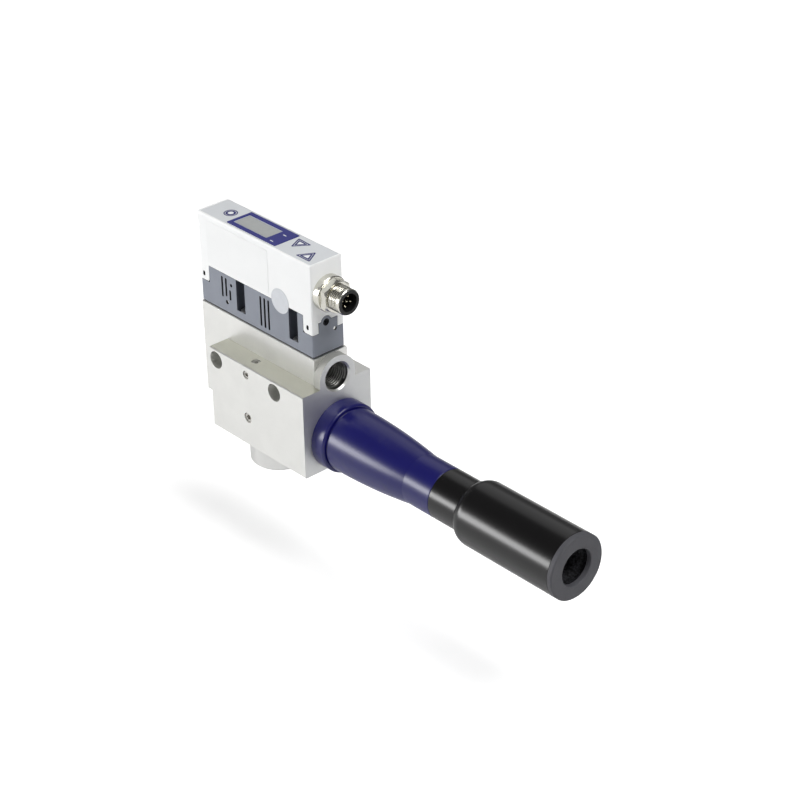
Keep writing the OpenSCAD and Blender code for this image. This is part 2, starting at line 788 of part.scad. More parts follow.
// Room that the cover's lugs and end walls take out of the valve base
module cover_reach() {
    skin = cover_wall + split_gap;
    x0 = head_rear;
    x1 = head_end;
    h = head_w / 2;
    for (s = [-1, 1]) {
        side = s > 0 ? [h - skin, h + 1] : [-h - 1, -h + skin];
        corner = s > 0 ? [h - lug_side - split_gap, h + 1] : [-h - 1, -h + lug_side + split_gap];
        slab([x0 - 1, side[0], lug_low - split_gap], [x0 + lug_len + split_gap, side[1], big]);
        slab([x1 - lug_len - split_gap, side[0], lug_low - split_gap], [x1 + 1, side[1], big]);
        slab([x0 - 1, corner[0], lug_low - split_gap], [x0 + skin, corner[1], big]);
        slab([x1 - skin, corner[0], lug_low - split_gap], [x1 + 1, corner[1], big]);
    }
    slab([x0 - 1, -h, end_low - split_gap], [x0 + skin, h, big]);
    difference() {
        slab([x1 - skin, -h, end_low - split_gap], [x1 + 1, h, big]);
        translate([0, tongue_screw[0], tongue_screw[1]])
            rod_x(x1 - skin - 1, x1 + 2, tongue_boss_r);
    }
}

// Front vents: three tall slots at one valve, three stepped slots and a round hole at the other
module front_vents() {
    first = pilot_x[0] - 1.7;
    second = pilot_x[1] + 3.4;
    for (i = [-1, 0, 1])
        upright_slot(first + i * slot_pitch, slot_top - slot_len, slot_top, slot_w);
    upright_slot(second - slot_pitch, slot_top - slot_len * 0.7, slot_top, slot_w);
    upright_slot(second, slot_top - slot_len * 0.63, slot_top, slot_w);
    upright_slot(second + slot_pitch, slot_top - slot_len * 0.7, slot_top - slot_len * 0.35, slot_w);
    translate([second + slot_pitch * 1.36, slot_top - 2.5]) circle(r = 0.8, $fn = 24);
}

// Holes through the cover's lugs into the valve base, for its latches
module latch_holes() {
    for (x = [head_rear + lug_len * 0.4, head_end - lug_len * 0.53])
        upright_slot(x, lug_low + 1.9, lug_low + 4.3, latch_w);
}

// Round sockets of the pressed pins, given as place and direction
pin_seats = [[pilot_x[1] + 3.7, -head_w / 2, head_low + 4.9, 0],
    [head_end, 3.9, head_low + 10, 1]];
pin_r = 1;

module valve_base() {
    h = head_w / 2;
    color("#868b95") difference() {
        translate([0, 0, head_low]) linear_extrude(base_h - split_gap) head_plan();
        cover_reach();
        for (x = pilot_x) translate([0, 0, cell_floor]) linear_extrude(base_h)
            rounded([x - cell_len / 2, -h + cell_wall], [x + cell_len / 2, h - cell_wall], 1);
        slab([sensor_x - 3, 0, cell_floor], [sensor_x + 3, h - cell_wall, big]);
        floor_ducts();
        for (x = well_x) {
            translate([x, well_y, head_low + well_floor]) cylinder(h = big, d = well_w);
            slab([x - well_w / 2, -h - 1, head_low + well_sill], [x + well_w / 2, well_y, big]);
            translate([x, well_y, 0]) rod_z(0, big, head_screw_d / 2 + 0.2);
        }
        along_y(-h - 1, -h + cell_wall + 1) front_vents();
        for (s = [-1, 1]) along_y(s * h - latch_depth, s * h + latch_depth) latch_holes();
        for (p = pin_seats) translate([p[0], p[1], p[2]])
            if (p[3] == 0) rod_y(-1, 2.2, pin_r); else rod_x(-2.2, 1, pin_r);
        translate([0, tongue_screw[0], tongue_screw[1]]) {
            rod_x(head_end - 1.6, head_end + 1, tongue_boss_r - 1.2);
            rod_x(head_end - 5, head_end, tongue_screw_d / 2 + 0.1);
        }
        slab([well_x[0] + well_w / 2 + 2, -h + 2.2, cell_floor + 2], [head_end - 3.6, h - 2.2, big]);
    }
}

module base_pins() {
    color("#d9d9d6") for (p = pin_seats) translate([p[0], p[1], p[2]])
        if (p[3] == 0) rod_y(0.5, 2.2, pin_r - fit_gap); else rod_x(-2.2, -0.5, pin_r - fit_gap);
}

module head_screws() {
    top = head_low + well_floor + pan_h;
    color("#c9cacb") for (x = well_x) translate([x, well_y, top])
        pan_screw(head_screw_d - 2 * fit_gap, 5.5, pan_h, well_floor + gasket_t + head_screw_depth,
            2.5);
}

module cover_screw() {
    color("#55575a") translate([head_end - 0.5, tongue_screw[0], tongue_screw[1]])
        rotate([0, 90, 0]) pan_screw(tongue_screw_d - 0.1, 3.2, 1.1, 5, 1.5);
}

// Front elevation of the cover, with its four lugs
module cover_elevation() {
    x0 = head_rear;
    x1 = head_end;
    c = 0.9;
    polygon([[x0, lug_low], [x0 + lug_len - c, lug_low], [x0 + lug_len, lug_low + c],
        [x0 + lug_len, split_up], [x1 - lug_len, split_up], [x1 - lug_len, lug_low + c],
        [x1 - lug_len + c, lug_low], [x1, lug_low], [x1, head_top], [x0, head_top]]);
}

// End elevation of the cover, with round upper edges
module cover_end() {
    h = head_w / 2;
    difference() {
        rounded([-h, lug_low - 5], [h, head_top], head_round);
        translate([-h + lug_side, lug_low - 6]) square([2 * (h - lug_side), 6 + end_low - lug_low]);
    }
}

module cover_shell() {
    h = head_w / 2;
    difference() {
        intersection() {
            translate([0, 0, lug_low]) linear_extrude(head_top - lug_low) head_plan();
            along_y(-h - 1, h + 1) cover_elevation();
            along_x(head_rear - 1, head_end + 1) cover_end();
        }
        translate([0, 0, lug_low - 1]) linear_extrude(deck_low - lug_low + 1) head_plan(cover_wall);
        translate([0, 0, foil_low]) linear_extrude(1) rounded(
            [head_rear + 1, -h + 0.9], [head_end - 1, h - 0.9], 0.8);
    }
}

module head_cover() {
    h = head_w / 2;
    color("#f4f5f5") difference() {
        union() {
            cover_shell();
            // boss that takes the end screw
            translate([0, tongue_screw[0], 0]) slab(
                [head_end - 7.7, -2.2, tongue_screw[1] - 2], [head_end - 4, 2.2, split_up + 2]);
            slab([head_end - 7.7, -h + cover_wall - eps, split_up + 0.4],
                [head_end - 4, h - cover_wall + eps, split_up + 2]);
        }
        translate([0, 0, deck_low - 1]) linear_extrude(big) rounded(
            [display_end - display_len, -display_w / 2], [display_end, display_w / 2], 0.4);
        for (k = key_at) translate([k[0], k[1], foil_low - dome_h]) cylinder(h = 2, r = dome_r + 0.2);
        translate([0, 0, plug_up]) rod_x(head_end - cover_wall - 1, head_end + 1,
            shell_tail_d / 2 + fit_gap);
        translate([0, tongue_screw[0], tongue_screw[1]]) {
            rod_x(head_end - 8, head_end, tongue_screw_d / 2);
            rod_x(head_end - cover_wall - 0.5, head_end + 1, tongue_boss_r + split_gap);
        }
        along_y(-h - 1, h + 1) latch_holes();
    }
}

// ---- operating panel ----------------------------------------------------------------------

module display_foil() {
    h = head_w / 2;
    color("#dcdfe3") translate([0, 0, foil_low]) linear_extrude(foil_t) difference() {
        rounded([head_rear + 1.05, -h + 0.95], [head_end - 1.05, h - 0.95], 0.75);
        rounded([display_end - display_len - 0.05, -display_w / 2 - 0.05],
            [display_end + 0.05, display_w / 2 + 0.05], 0.4);
    }
}

module display_frame() {
    rim = 0.25;
    color("#2a2f86") difference() {
        translate([0, 0, deck_low]) linear_extrude(head_top + rim - deck_low) rounded(
            [display_end - display_len + fit_gap, -display_w / 2 + fit_gap],
            [display_end - fit_gap, display_w / 2 - fit_gap], 0.4);
        translate([lcd_mid, 0, 0]) slab([-lcd_len / 2, -lcd_w / 2, deck_low - 1],
            [lcd_len / 2, lcd_w / 2, head_top + 1]);
    }
}

module lcd_module() {
    color("#a7abaa") {
        slab([display_end - display_len + 1, -display_w / 2 + 0.6, board_top],
            [display_end - 1, display_w / 2 - 0.6, deck_low]);
        translate([lcd_mid, 0, 0]) slab([-lcd_len / 2 + fit_gap, -lcd_w / 2 + fit_gap, deck_low - eps],
            [lcd_len / 2 - fit_gap, lcd_w / 2 - fit_gap, head_top - 0.1]);
    }
}

module key_domes() {
    color("#c4c5c6") for (k = key_at) translate([k[0], k[1], foil_low - dome_h])
        cylinder(h = dome_h, r1 = dome_r, r2 = dome_r * 0.55);
}

module circuit_board() {
    h = head_w / 2 - cover_wall - 0.3;
    color("#1f5a3a") slab([head_rear + 2.4, -h, board_top - board_t],
        [head_end - 4.6, h, board_top]);
}

module pilot_valves() {
    color("#2f3237") for (x = pilot_x) translate([x, 0, cell_floor]) {
        linear_extrude(pilot_size[2] - 6) rounded(
            [-pilot_size[0] / 2, -pilot_size[1] / 2], [pilot_size[0] / 2, pilot_size[1] / 2], 0.8);
        rod_z(pilot_size[2] - 6 - eps, pilot_size[2] - 1, 4);
    }
}

module pressure_sensor() {
    color("#3a3c40") translate([sensor_x, 0, cell_floor]) {
        slab([-sensor_size[0] / 2, sensor_duct_y - 3, 0],
            [sensor_size[0] / 2, sensor_duct_y - 3 + sensor_size[1], sensor_size[2]]);
        translate([0, sensor_duct_y, 0]) rod_z(-2.5, eps, sensor_duct_r - 0.1);
    }
}

// ---- connector ----------------------------------------------------------------------------

module connector_shell() {
    color("#c9c6b8") translate([0, 0, plug_up]) difference() {
        union() {
            turned() polygon([[0, head_end], [collar_d / 2, head_end],
                [collar_d / 2, collar_end - 0.4], [collar_d / 2 - 0.4, collar_end], [0, collar_end]]);
            translate([collar_end - eps, 0, 0]) rotate([0, 90, 0])
                cylinder(h = hex_len + eps, d = hex_af / cos(30), $fn = 6);
            rod_x(hex_end - eps, thread_end - barrel_chamfer, m12_d / 2);
            translate([thread_end - barrel_chamfer, 0, 0]) rotate([0, 90, 0])
                cylinder(h = barrel_chamfer, r1 = m12_d / 2, r2 = m12_d / 2 - barrel_chamfer);
            rod_x(shell_rear, head_end + eps, shell_tail_d / 2);
        }
        rod_x(shell_rear - 1, thread_end + 1, shell_bore_d / 2);
    }
}

module connector_nut() {
    back = head_end - cover_wall;
    color("#c9c6b8") translate([back - 2.4, 0, plug_up]) rotate([0, 90, 0]) difference() {
        cylinder(h = 2.4, d = (head_w - 2 * cover_wall - 0.8) / cos(30), $fn = 6);
        translate([0, 0, -1]) cylinder(h = 5, r = shell_tail_d / 2 + fit_gap);
    }
}

module connector_insert() {
    key_w = 1;
    floor_x = hex_end + 0.4;
    color("#101012") translate([0, 0, plug_up]) difference() {
        union() {
            rod_x(shell_rear - 2, thread_end + eps, shell_bore_d / 2 - fit_gap);
            rod_x(thread_end, insert_end, m12_d / 2 - barrel_chamfer);
        }
        difference() {
            rod_x(floor_x, insert_end + 1, cavity_d / 2);
            slab([floor_x - 1, -key_w / 2, cavity_d / 2 - 0.7],
                [insert_end - 1, key_w / 2, cavity_d]);
        }
        for (p = contacts) translate([0, p[0], p[1]])
            rod_x(shell_rear - 3, insert_end, contact_d / 2 + 0.02);
    }
}

contacts = concat([[0, 0]], [for (a = [70, 160, 250, 340]) contact_r * [cos(a), sin(a)]]);
contact_end = insert_end - 2.1;

module connector_pins() {
    color("#d8c27a") translate([0, 0, plug_up]) for (p = contacts) translate([0, p[0], p[1]]) {
        rod_x(shell_rear - 5, contact_end, contact_d / 2);
        translate([contact_end - eps, 0, 0]) rotate([0, 90, 0])
            cylinder(h = 0.4, r1 = contact_d / 2, r2 = contact_d / 4);
    }
}

// ---- labels -------------------------------------------------------------------------------

module type_label() {
    color("#fafafa") along_y(-head_w / 2 - label_t, -head_w / 2) rounded(
        [head_rear + 6, split_up + 1.6], [head_rear + 49, head_top - 2.6], 0.8);
}

module seal_label() {
    color("#e6e8ec") translate([well_x[0] - 8.5, 0, split_up + 1])
        rod_y(-head_w / 2 - label_t, -head_w / 2, 5.9);
}

// ---- assembly -----------------------------------------------------------------------------

in_frame() body_block();
in_frame() vacuum_socket();
in_frame() port_screen();
in_frame() check_guide();
in_frame() check_poppet();
in_frame() check_spring();
in_frame() jet_nozzle();
in_frame() receiver_nozzle();
in_frame() nozzle_housing();
in_frame() housing_oring();
in_frame() silencer_body();
in_frame() silencer_foam();
in_frame() silencer_cap();
in_frame() valve_piston();
in_frame() piston_oring();
in_frame() valve_spring();
in_frame() base_gasket();
in_frame() valve_base();
in_frame() head_cover();
in_frame() display_foil();
in_frame() display_frame();
in_frame() lcd_module();
in_frame() key_domes();
in_frame() circuit_board();
in_frame() pilot_valves();
in_frame() pressure_sensor();
in_frame() connector_shell();
in_frame() connector_nut();
in_frame() connector_insert();
in_frame() connector_pins();
in_frame() head_screws();
in_frame() cover_screw();
in_frame() channel_plugs();
in_frame() base_pins();
in_frame() type_label();
in_frame() seal_label();
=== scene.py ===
"""Looks of a compact vacuum ejector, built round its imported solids.

The part is an aluminium block with a tall rail, a two part moulded valve head on the rail, a turned
blue nozzle housing with a black open silencer, and a round vacuum socket below.
Lengths are millimetres from the nozzle's axis at the block's end face, and at() takes them to the
frame of the solids in metres.
"""

import json
import logging
import math
from dataclasses import dataclass
from enum import Enum
from typing import Callable, Sequence

import bmesh
import bpy
from mathutils import Matrix, Vector


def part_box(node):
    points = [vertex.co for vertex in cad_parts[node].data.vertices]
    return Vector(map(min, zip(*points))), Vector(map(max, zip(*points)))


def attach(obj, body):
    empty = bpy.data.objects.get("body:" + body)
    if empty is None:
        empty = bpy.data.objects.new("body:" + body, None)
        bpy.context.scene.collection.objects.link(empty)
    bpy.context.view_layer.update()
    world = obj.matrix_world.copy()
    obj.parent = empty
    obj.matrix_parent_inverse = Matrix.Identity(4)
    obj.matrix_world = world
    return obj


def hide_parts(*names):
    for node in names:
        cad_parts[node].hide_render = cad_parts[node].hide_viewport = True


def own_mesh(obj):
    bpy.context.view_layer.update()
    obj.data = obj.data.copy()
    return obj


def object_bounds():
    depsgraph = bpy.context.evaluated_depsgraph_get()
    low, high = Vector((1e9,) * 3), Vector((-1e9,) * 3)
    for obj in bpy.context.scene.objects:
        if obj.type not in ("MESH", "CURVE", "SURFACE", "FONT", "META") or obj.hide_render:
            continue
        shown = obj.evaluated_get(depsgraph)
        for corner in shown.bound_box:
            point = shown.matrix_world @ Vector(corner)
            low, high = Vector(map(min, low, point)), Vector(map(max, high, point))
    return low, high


LOG = logging.getLogger("vacuum_ejector")
MM = 0.001
BODY = "body"

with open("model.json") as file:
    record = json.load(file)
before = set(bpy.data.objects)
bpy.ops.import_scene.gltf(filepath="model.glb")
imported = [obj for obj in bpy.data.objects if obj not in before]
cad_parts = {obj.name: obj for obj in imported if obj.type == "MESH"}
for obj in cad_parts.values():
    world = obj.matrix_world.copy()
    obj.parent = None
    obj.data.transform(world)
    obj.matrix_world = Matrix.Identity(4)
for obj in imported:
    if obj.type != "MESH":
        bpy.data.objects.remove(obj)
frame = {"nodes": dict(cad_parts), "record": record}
CAD_BOX = [list(corner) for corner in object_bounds()]

# The block's end face and the nozzle's axis, read from the housing's own solid.
_LOW, _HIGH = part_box("silencer_body")
AXIS_Y = (_LOW.y + _HIGH.y) / 2
AXIS_Z = (_LOW.z + _HIGH.z) / 2
END_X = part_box("body_block")[1].x

NODE_SLOT = {entry["node"]: entry["material_slot"] for entry in frame["record"]["subparts"]}

# Corners of a copied solid nearer than this are one, in metres, and shorter edges are dropped.
MERGE_M = 2e-7
SLIVER_M = 1e-6
# Faces of a copied solid that turn less than this against each other become one.
FLAT_DEG = 0.4
# How far a point may lie off a radius and still belong to its wall, in millimetres.
NEAR = 0.02
# How far the middle of a face may lie past a radius and still belong to its wall, in millimetres.
WALL_SLACK = 0.1
# A face whose normal has more than this along an axis faces that way.
FACING = 0.9
# Segments round the largest turned pieces, and round the plug.
FINE_TURN = 192
PLUG_TURN = 128
# How deep the foot of a thread's ridge sits in the wall behind it, in millimetres.
RIDGE_FOOT = 0.04

Point = tuple[float, float, float]
Pair = tuple[float, float]
Piece = bpy.types.Object
Tree = bpy.types.NodeTree
Socket = bpy.types.NodeSocket
FaceTest = Callable[[Vector, Vector], bool]
Reshape = Callable[[bmesh.types.BMesh], None]


class Edge(Enum):
    """How much of its sharp edges a copied solid loses, as width in millimetres and segments."""

    BROKEN = (0.3, 3)
    MACHINED = (0.16, 2)
    CRISP = (0.08, 2)
    FILM = (0.03, 1)


def at(x: float, y: float, z: float) -> Vector:
    """A point of the part, from millimetres about the nozzle's axis.

    Args:
        x: Distance from the block's end face towards the silencer.
        y: Distance from the nozzle's axis towards the mounting face.
        z: Height over the nozzle's axis.

    Returns:
        The same point in metres in the frame of the solids.
    """
    return Vector((END_X + x * MM, AXIS_Y + y * MM, AXIS_Z + z * MM))


def linear(hex_colour: str) -> tuple[float, float, float, float]:
    """Turns an sRGB hex colour to the linear one that shaders take.

    Args:
        hex_colour: Six hexadecimal digits.

    Returns:
        Linear red, green and blue, and an alpha of 1.
    """
    parts = [int(hex_colour[i : i + 2], 16) / 255 for i in (0, 2, 4)]
    r, g, b = (p / 12.92 if p <= 0.04045 else ((p + 0.055) / 1.055) ** 2.4 for p in parts)
    return (r, g, b, 1.0)


def add_node(
    tree: Tree, kind: str, links: dict | None = None, **settings: object
) -> bpy.types.Node:
    """Adds a node with its settings, values and links.

    Args:
        tree: Tree that takes the node.
        kind: Blender's name for the kind of node.
        links: Socket name or index to an output socket to link, or a value to set.
        settings: Attributes of the node.

    Returns:
        The new node.
    """
    node = tree.nodes.new(kind)
    for key, value in settings.items():
        setattr(node, key, value)
    for key, value in (links or {}).items():
        if isinstance(value, bpy.types.NodeSocket):
            tree.links.new(value, node.inputs[key])
        else:
            node.inputs[key].default_value = value
    return node


# ---- finishes -----------------------------------------------------------------------------


# Bare or plated metal, and everything that isn't, such as plastic, rubber, ink and dyed oxide.
METAL = 1.0
NON_METAL = 0.0


@dataclass(frozen=True)
class Grain:
    """Fine relief of a surface.

    Attributes:
        size_mm: Size of one feature.
        height_mm: Its height.
    """

    size_mm: float = 0.6
    height_mm: float = 0.01


@dataclass(frozen=True)
class Mottle:
    """Soft patches that are a little darker than the rest.

    Attributes:
        share: Share by which they are darker.
        size_mm: Size of one patch.
    """

    share: float = 0.04
    size_mm: float = 9.0


@dataclass(frozen=True)
class Finish:
    """A plain moulded or machined surface with fine relief and slight unevenness.

    Attributes:
        name: The real material and how its surface was made.
        colour: sRGB hex of the surface.
        roughness: Mean roughness.
        metallic: METAL, NON_METAL or a share between, where a film covers metal.
        grain: Fine relief.
        mottle: Darker patches.
        rough_var: Change of roughness over the grain. Neither end crosses 0.28, where the
            render's noise filter leaves specks.
        coat: Weight of a clear coat.
        coat_roughness: Roughness of the clear coat.
        specular: Specular level of a plastic.
    """

    name: str
    colour: str
    roughness: float = 0.5
    metallic: float = NON_METAL
    grain: Grain = Grain()
    mottle: Mottle = Mottle()
    rough_var: float = 0.06
    coat: float = 0.0
    coat_roughness: float = 0.1
    specular: float = 0.5

    def build(self) -> bpy.types.Material:
        """Makes the material, or returns the one already made.

        Returns:
            The material.
        """
        made = bpy.data.materials.get(self.name)
        if made:
            return made
        material = bpy.data.materials.new(self.name)
        material.use_nodes = True
        tree = material.node_tree
        tree.nodes.clear()
        coords = add_node(tree, "ShaderNodeTexCoord").outputs["Object"]
        shader = add_node(
            tree,
            "ShaderNodeBsdfPrincipled",
            {
                "Base Color": self.tint(tree, coords),
                "Metallic": self.metallic,
                "Roughness": self.sheen(tree, coords),
                "Normal": self.relief(tree, coords),
                "Coat Weight": self.coat,
                "Coat Roughness": self.coat_roughness,
                "Specular IOR Level": self.specular,
            },
        )
        add_node(tree, "ShaderNodeOutputMaterial", {"Surface": shader.outputs["BSDF"]})
        return material

    def noise(self, tree: Tree, coords: Socket, size_mm: float, detail: float) -> Socket:
        """Adds noise whose features are size_mm across.

        Args:
            tree: Material tree.
            coords: Coordinates in metres.
            size_mm: Size of one feature.
            detail: Octaves of finer noise.

        Returns:
            The noise's factor.
        """
        links = {"Vector": coords, "Scale": 1 / (size_mm * MM), "Detail": detail, "Roughness": 0.6}
        return add_node(tree, "ShaderNodeTexNoise", links).outputs["Fac"]

    def tint(self, tree: Tree, coords: Socket) -> Socket:
        """Colours the surface, with soft patches a little darker than the rest.

        Args:
            tree: Material tree.
            coords: Coordinates in metres.

        Returns:
            The colour.
        """
        dark = [c * (1 - self.mottle.share) for c in linear(self.colour)[:3]] + [1.0]
        ramp = add_node(
            tree, "ShaderNodeValToRGB", {"Fac": self.noise(tree, coords, self.mottle.size_mm, 3.0)}
        )
        ramp.color_ramp.elements[0].position = 0.35
        ramp.color_ramp.elements[0].color = dark
        ramp.color_ramp.elements[1].position = 0.65
        ramp.color_ramp.elements[1].color = linear(self.colour)
        return ramp.outputs["Color"]

    def sheen(self, tree: Tree, coords: Socket) -> Socket:
        """Makes the roughness uneven at the size of the grain.

        Args:
            tree: Material tree.
            coords: Coordinates in metres.

        Returns:
            The roughness.
        """
        links = {
            "Value": self.noise(tree, coords, self.grain.size_mm * 2, 2.0),
            "To Min": max(self.roughness - self.rough_var, 0.02),
            "To Max": min(self.roughness + self.rough_var, 1.0),
        }
        return add_node(tree, "ShaderNodeMapRange", links).outputs["Result"]

    def relief(self, tree: Tree, coords: Socket) -> Socket:
        """Raises the fine relief.

        Args:
            tree: Material tree.
            coords: Coordinates in metres.

        Returns:
            The surface normal.
        """
        links = {
            "Height": self.noise(tree, coords, self.grain.size_mm, 2.0),
            "Distance": self.grain.height_mm * MM,
            "Strength": 1.0,
        }
        return add_node(tree, "ShaderNodeBump", links).outputs["Normal"]


@dataclass(frozen=True)
class Turned(Finish):
    """A turned surface: fine rings about the X axis that follow the tool.

    Attributes:
        feed_mm: Distance between two rings.
        ring_mm: Height of a ring.
    """

    feed_mm: float = 0.5
    ring_mm: float = 0.002

    def relief(self, tree: Tree, coords: Socket) -> Socket:
        """Raises the tool's rings and a little grain on them.

        Args:
            tree: Material tree.
            coords: Coordinates in metres.

        Returns:
            The surface normal.
        """
        stretched = add_node(
            tree, "ShaderNodeMapping", {"Vector": coords, "Scale": (1.0, 0.02, 0.02)}
        ).outputs["Vector"]
        rings = self.noise(tree, stretched, self.feed_mm, 1.0)
        links = {"Height": rings, "Distance": self.ring_mm * MM, "Strength": 1.0}
        first = add_node(tree, "ShaderNodeBump", links).outputs["Normal"]
        links = {
            "Height": self.noise(tree, coords, self.grain.size_mm, 2.0),
            "Distance": self.grain.height_mm * MM,
            "Normal": first,
        }
        return add_node(tree, "ShaderNodeBump", links).outputs["Normal"]


@dataclass(frozen=True)
class Porous(Finish):
    """Sintered plastic: round grains, with painted shade in the pores between them.

    Attributes:
        bead_mm: Size of one grain.
        pore_shade: sRGB hex painted in the pores, as the shade that falls between the grains.
    """

    bead_mm: float = 0.9
    # Painted shade in the pores between the grains.
    pore_shade: str = "0c0c0d"

    def cells(self, tree: Tree, coords: Socket) -> Socket:
        """Distance to the nearest grain's centre."""
        links = {"Vector": coords, "Scale": 1 / (self.bead_mm * MM)}
        return add_node(tree, "ShaderNodeTexVoronoi", links).outputs["Distance"]

    def tint(self, tree: Tree, coords: Socket) -> Socket:
        """Colours the grains grey and paints the pores dark as their shade.

        Args:
            tree: Material tree.
            coords: Coordinates in metres.

        Returns:
            The colour.
        """
        ramp = add_node(tree, "ShaderNodeValToRGB", {"Fac": self.cells(tree, coords)})
        ramp.color_ramp.elements[0].position = 0.3
        ramp.color_ramp.elements[0].color = linear(self.colour)
        ramp.color_ramp.elements[1].position = 0.7
        ramp.color_ramp.elements[1].color = linear(self.pore_shade)
        return ramp.outputs["Color"]

    def relief(self, tree: Tree, coords: Socket) -> Socket:
        """Rounds the grains.

        Args:
            tree: Material tree.
            coords: Coordinates in metres.

        Returns:
            The surface normal.
        """
        height = add_node(
            tree,
            "ShaderNodeMath",
            {0: 1.0, 1: self.cells(tree, coords)},
            operation="SUBTRACT",
        ).outputs[0]
        links = {"Height": height, "Distance": self.grain.height_mm * MM, "Strength": 1.0}
        return add_node(tree, "ShaderNodeBump", links).outputs["Normal"]


# Bead blasting leaves fine even dimples that spread the light: pale warm grey with no mirror.
# The real dimples are about 0.1 mm and are drawn at 0.45 mm so that they still show.
BLASTED = Finish(
    "bead_blasted_aluminium", "e4e4e1", 0.37, METAL,
    Grain(0.45, 0.006), Mottle(0.04, 14.0),
)
# The end face takes a darker, more neutral grey than the rest of the block, which is painted shade
# on that side, and a higher roughness.
END_FACE_PAINTED_SHADE = Finish(
    "aluminium_end_face_with_painted_shade", "d6d7d7", 0.52, METAL,
    Grain(0.45, 0.008), Mottle(0.04, 14.0),
)
# The ledge takes a darker, warmer grey than the rest of the block: painted shade on its top face.
LEDGE_PAINTED_SHADE = Finish(
    "aluminium_ledge_with_painted_shade", "cbcbbf", 0.36, METAL,
    Grain(0.45, 0.006), Mottle(0.04, 14.0),
)
# The round flank of the boss is much rougher than the block, which spreads the lamp's highlight,
# and a darker grey, which is painted shade.
BOSS_FLANK_PAINTED_SHADE = Finish(
    "aluminium_boss_flank_with_painted_shade", "c6c6c2", 0.85, METAL,
    Grain(0.45, 0.008), Mottle(0.04, 14.0),
)
# Drilled through and left rough from the drill, so that it spreads what light falls in.
HOLE_WALL = Finish("drilled_aluminium", "e2e2de", 0.88, METAL, Grain(0.3, 0.006), Mottle(0.06, 3.0))
# Tapped hole and its thread: cut metal painted a dark grey, as the shade deep in the bore.
PORT_PAINTED_SHADE = Finish(
    "tapped_aluminium_with_painted_shade", "969693", 0.32, METAL,
    Grain(0.3, 0.002), Mottle(0.05, 4.0), rough_var=0.04,
)
# A face turned on the lathe and left bare: brighter than the blasted block, with rings.
TURNED_ALUMINIUM = Turned(
    "turned_aluminium", "dcdcda", 0.35, METAL,
    Grain(0.5, 0.004), Mottle(0.04, 10.0),
)
# Clear dyed oxide over polished turning: deep blue with sharp highlights.
BLUE_OXIDE = Turned(
    "blue_anodised_aluminium", "0f0e5a", 0.295, NON_METAL,
    Grain(0.9, 0.0005), Mottle(0.08, 12.0), rough_var=0.01, feed_mm=0.7, ring_mm=0.0006,
)
# Black dyed oxide over fine turning: satin black with one soft highlight.
BLACK_OXIDE = Turned(
    "black_anodised_aluminium", "060506", 0.255, NON_METAL,
    Grain(0.9, 0.0006), Mottle(0.2, 12.0), rough_var=0.01, feed_mm=0.7, ring_mm=0.0006,
)
# Matt moulded cap: dark grey and even.
CAP_PLASTIC = Finish(
    "moulded_grey_nylon", "4a4a4f", 0.62, NON_METAL, Grain(0.4, 0.02), Mottle(0.08, 5.0)
)
# Sintered polyethylene beads of about 0.5 mm, drawn at 0.9 mm.
# Its pores take painted shade, near black.
SINTERED = Porous("sintered_polyethylene", "3a3b40", 0.8, NON_METAL, Grain(0.6, 0.35))
# Spark eroded mould: fine even texture on grey, which takes off the gloss.
BASE_PLASTIC = Finish(
    "textured_grey_abs", "878c97", 0.5, NON_METAL, Grain(0.4, 0.012), Mottle(0.05, 8.0)
)
# Inner faces of the same moulding and the walls of the cover's latch holes, painted near black:
# painted shade where only stray light reaches.
BASE_PAINTED_SHADE = Finish(
    "grey_abs_with_painted_inner_shade", "17181a", 0.6, NON_METAL,
    Grain(0.4, 0.012), Mottle(0.1, 8.0),
)
# Walls of the deep screw wells in the same moulding, painted a darker grey: painted shade inside
# the wells.
WELL_PAINTED_SHADE = Finish(
    "grey_abs_with_painted_well_shade", "4a4e58", 0.5, NON_METAL, Grain(0.4, 0.012), Mottle(0.1, 8.0)
)
# Polished mould: smooth white with a soft sheen.
COVER_PLASTIC = Finish(
    "moulded_white_abs", "f7f8f8", 0.36, NON_METAL,
    Grain(0.8, 0.004), Mottle(0.015, 20.0), rough_var=0.03,
)
# Back printed polyester: silver grey with the fine embossing of a keypad foil.
FOIL = Finish(
    "printed_polyester_foil", "dadde0", 0.4, NON_METAL, Grain(0.35, 0.006), Mottle(0.03, 5.0)
)
# Screen printed on the foil: deep blue with the foil's own sheen.
FOIL_INK = Finish(
    "blue_screen_print", "191b68", 0.4, NON_METAL, Grain(0.5, 0.002), Mottle(0.05, 4.0)
)
# White ink on the same foil, brighter than its silver ground.
FOIL_WHITE = Finish(
    "white_screen_print", "f1f3f5", 0.4, NON_METAL, Grain(0.5, 0.002), Mottle(0.02, 4.0)
)
# Self coloured moulding from a smooth mould: even deep blue.
FRAME_BLUE = Finish(
    "moulded_blue_abs", "24287c", 0.42, NON_METAL, Grain(0.5, 0.003), Mottle(0.06, 6.0)
)
# Grey print that masks the edge of the panel.
LCD_EDGE = Finish(
    "grey_screen_print", "b4bac8", 0.4, NON_METAL, Grain(0.5, 0.002), Mottle(0.02, 4.0)
)
# Unlit reflective liquid crystal behind a clear window: even grey under a faint gloss.
LCD = Finish(
    "unlit_liquid_crystal", "a4a7a6", 0.24, NON_METAL,
    Grain(0.3, 0.001), Mottle(0.05, 3.0), rough_var=0.02, coat=0.4, coat_roughness=0.08,
)
# Bright nickel over turned brass: a warm mirror with faint rings.
NICKEL = Turned(
    "nickel_plated_brass", "dddbd2", 0.22, METAL,
    Grain(0.5, 0.002), Mottle(0.06, 5.0), rough_var=0.04,
)
# Thin gold over brass contacts: a pale warm mirror.
GOLD = Finish("gold_plated_brass", "e4dcc2", 0.2, METAL, Grain(0.3, 0.001), Mottle(0.05, 2.0))
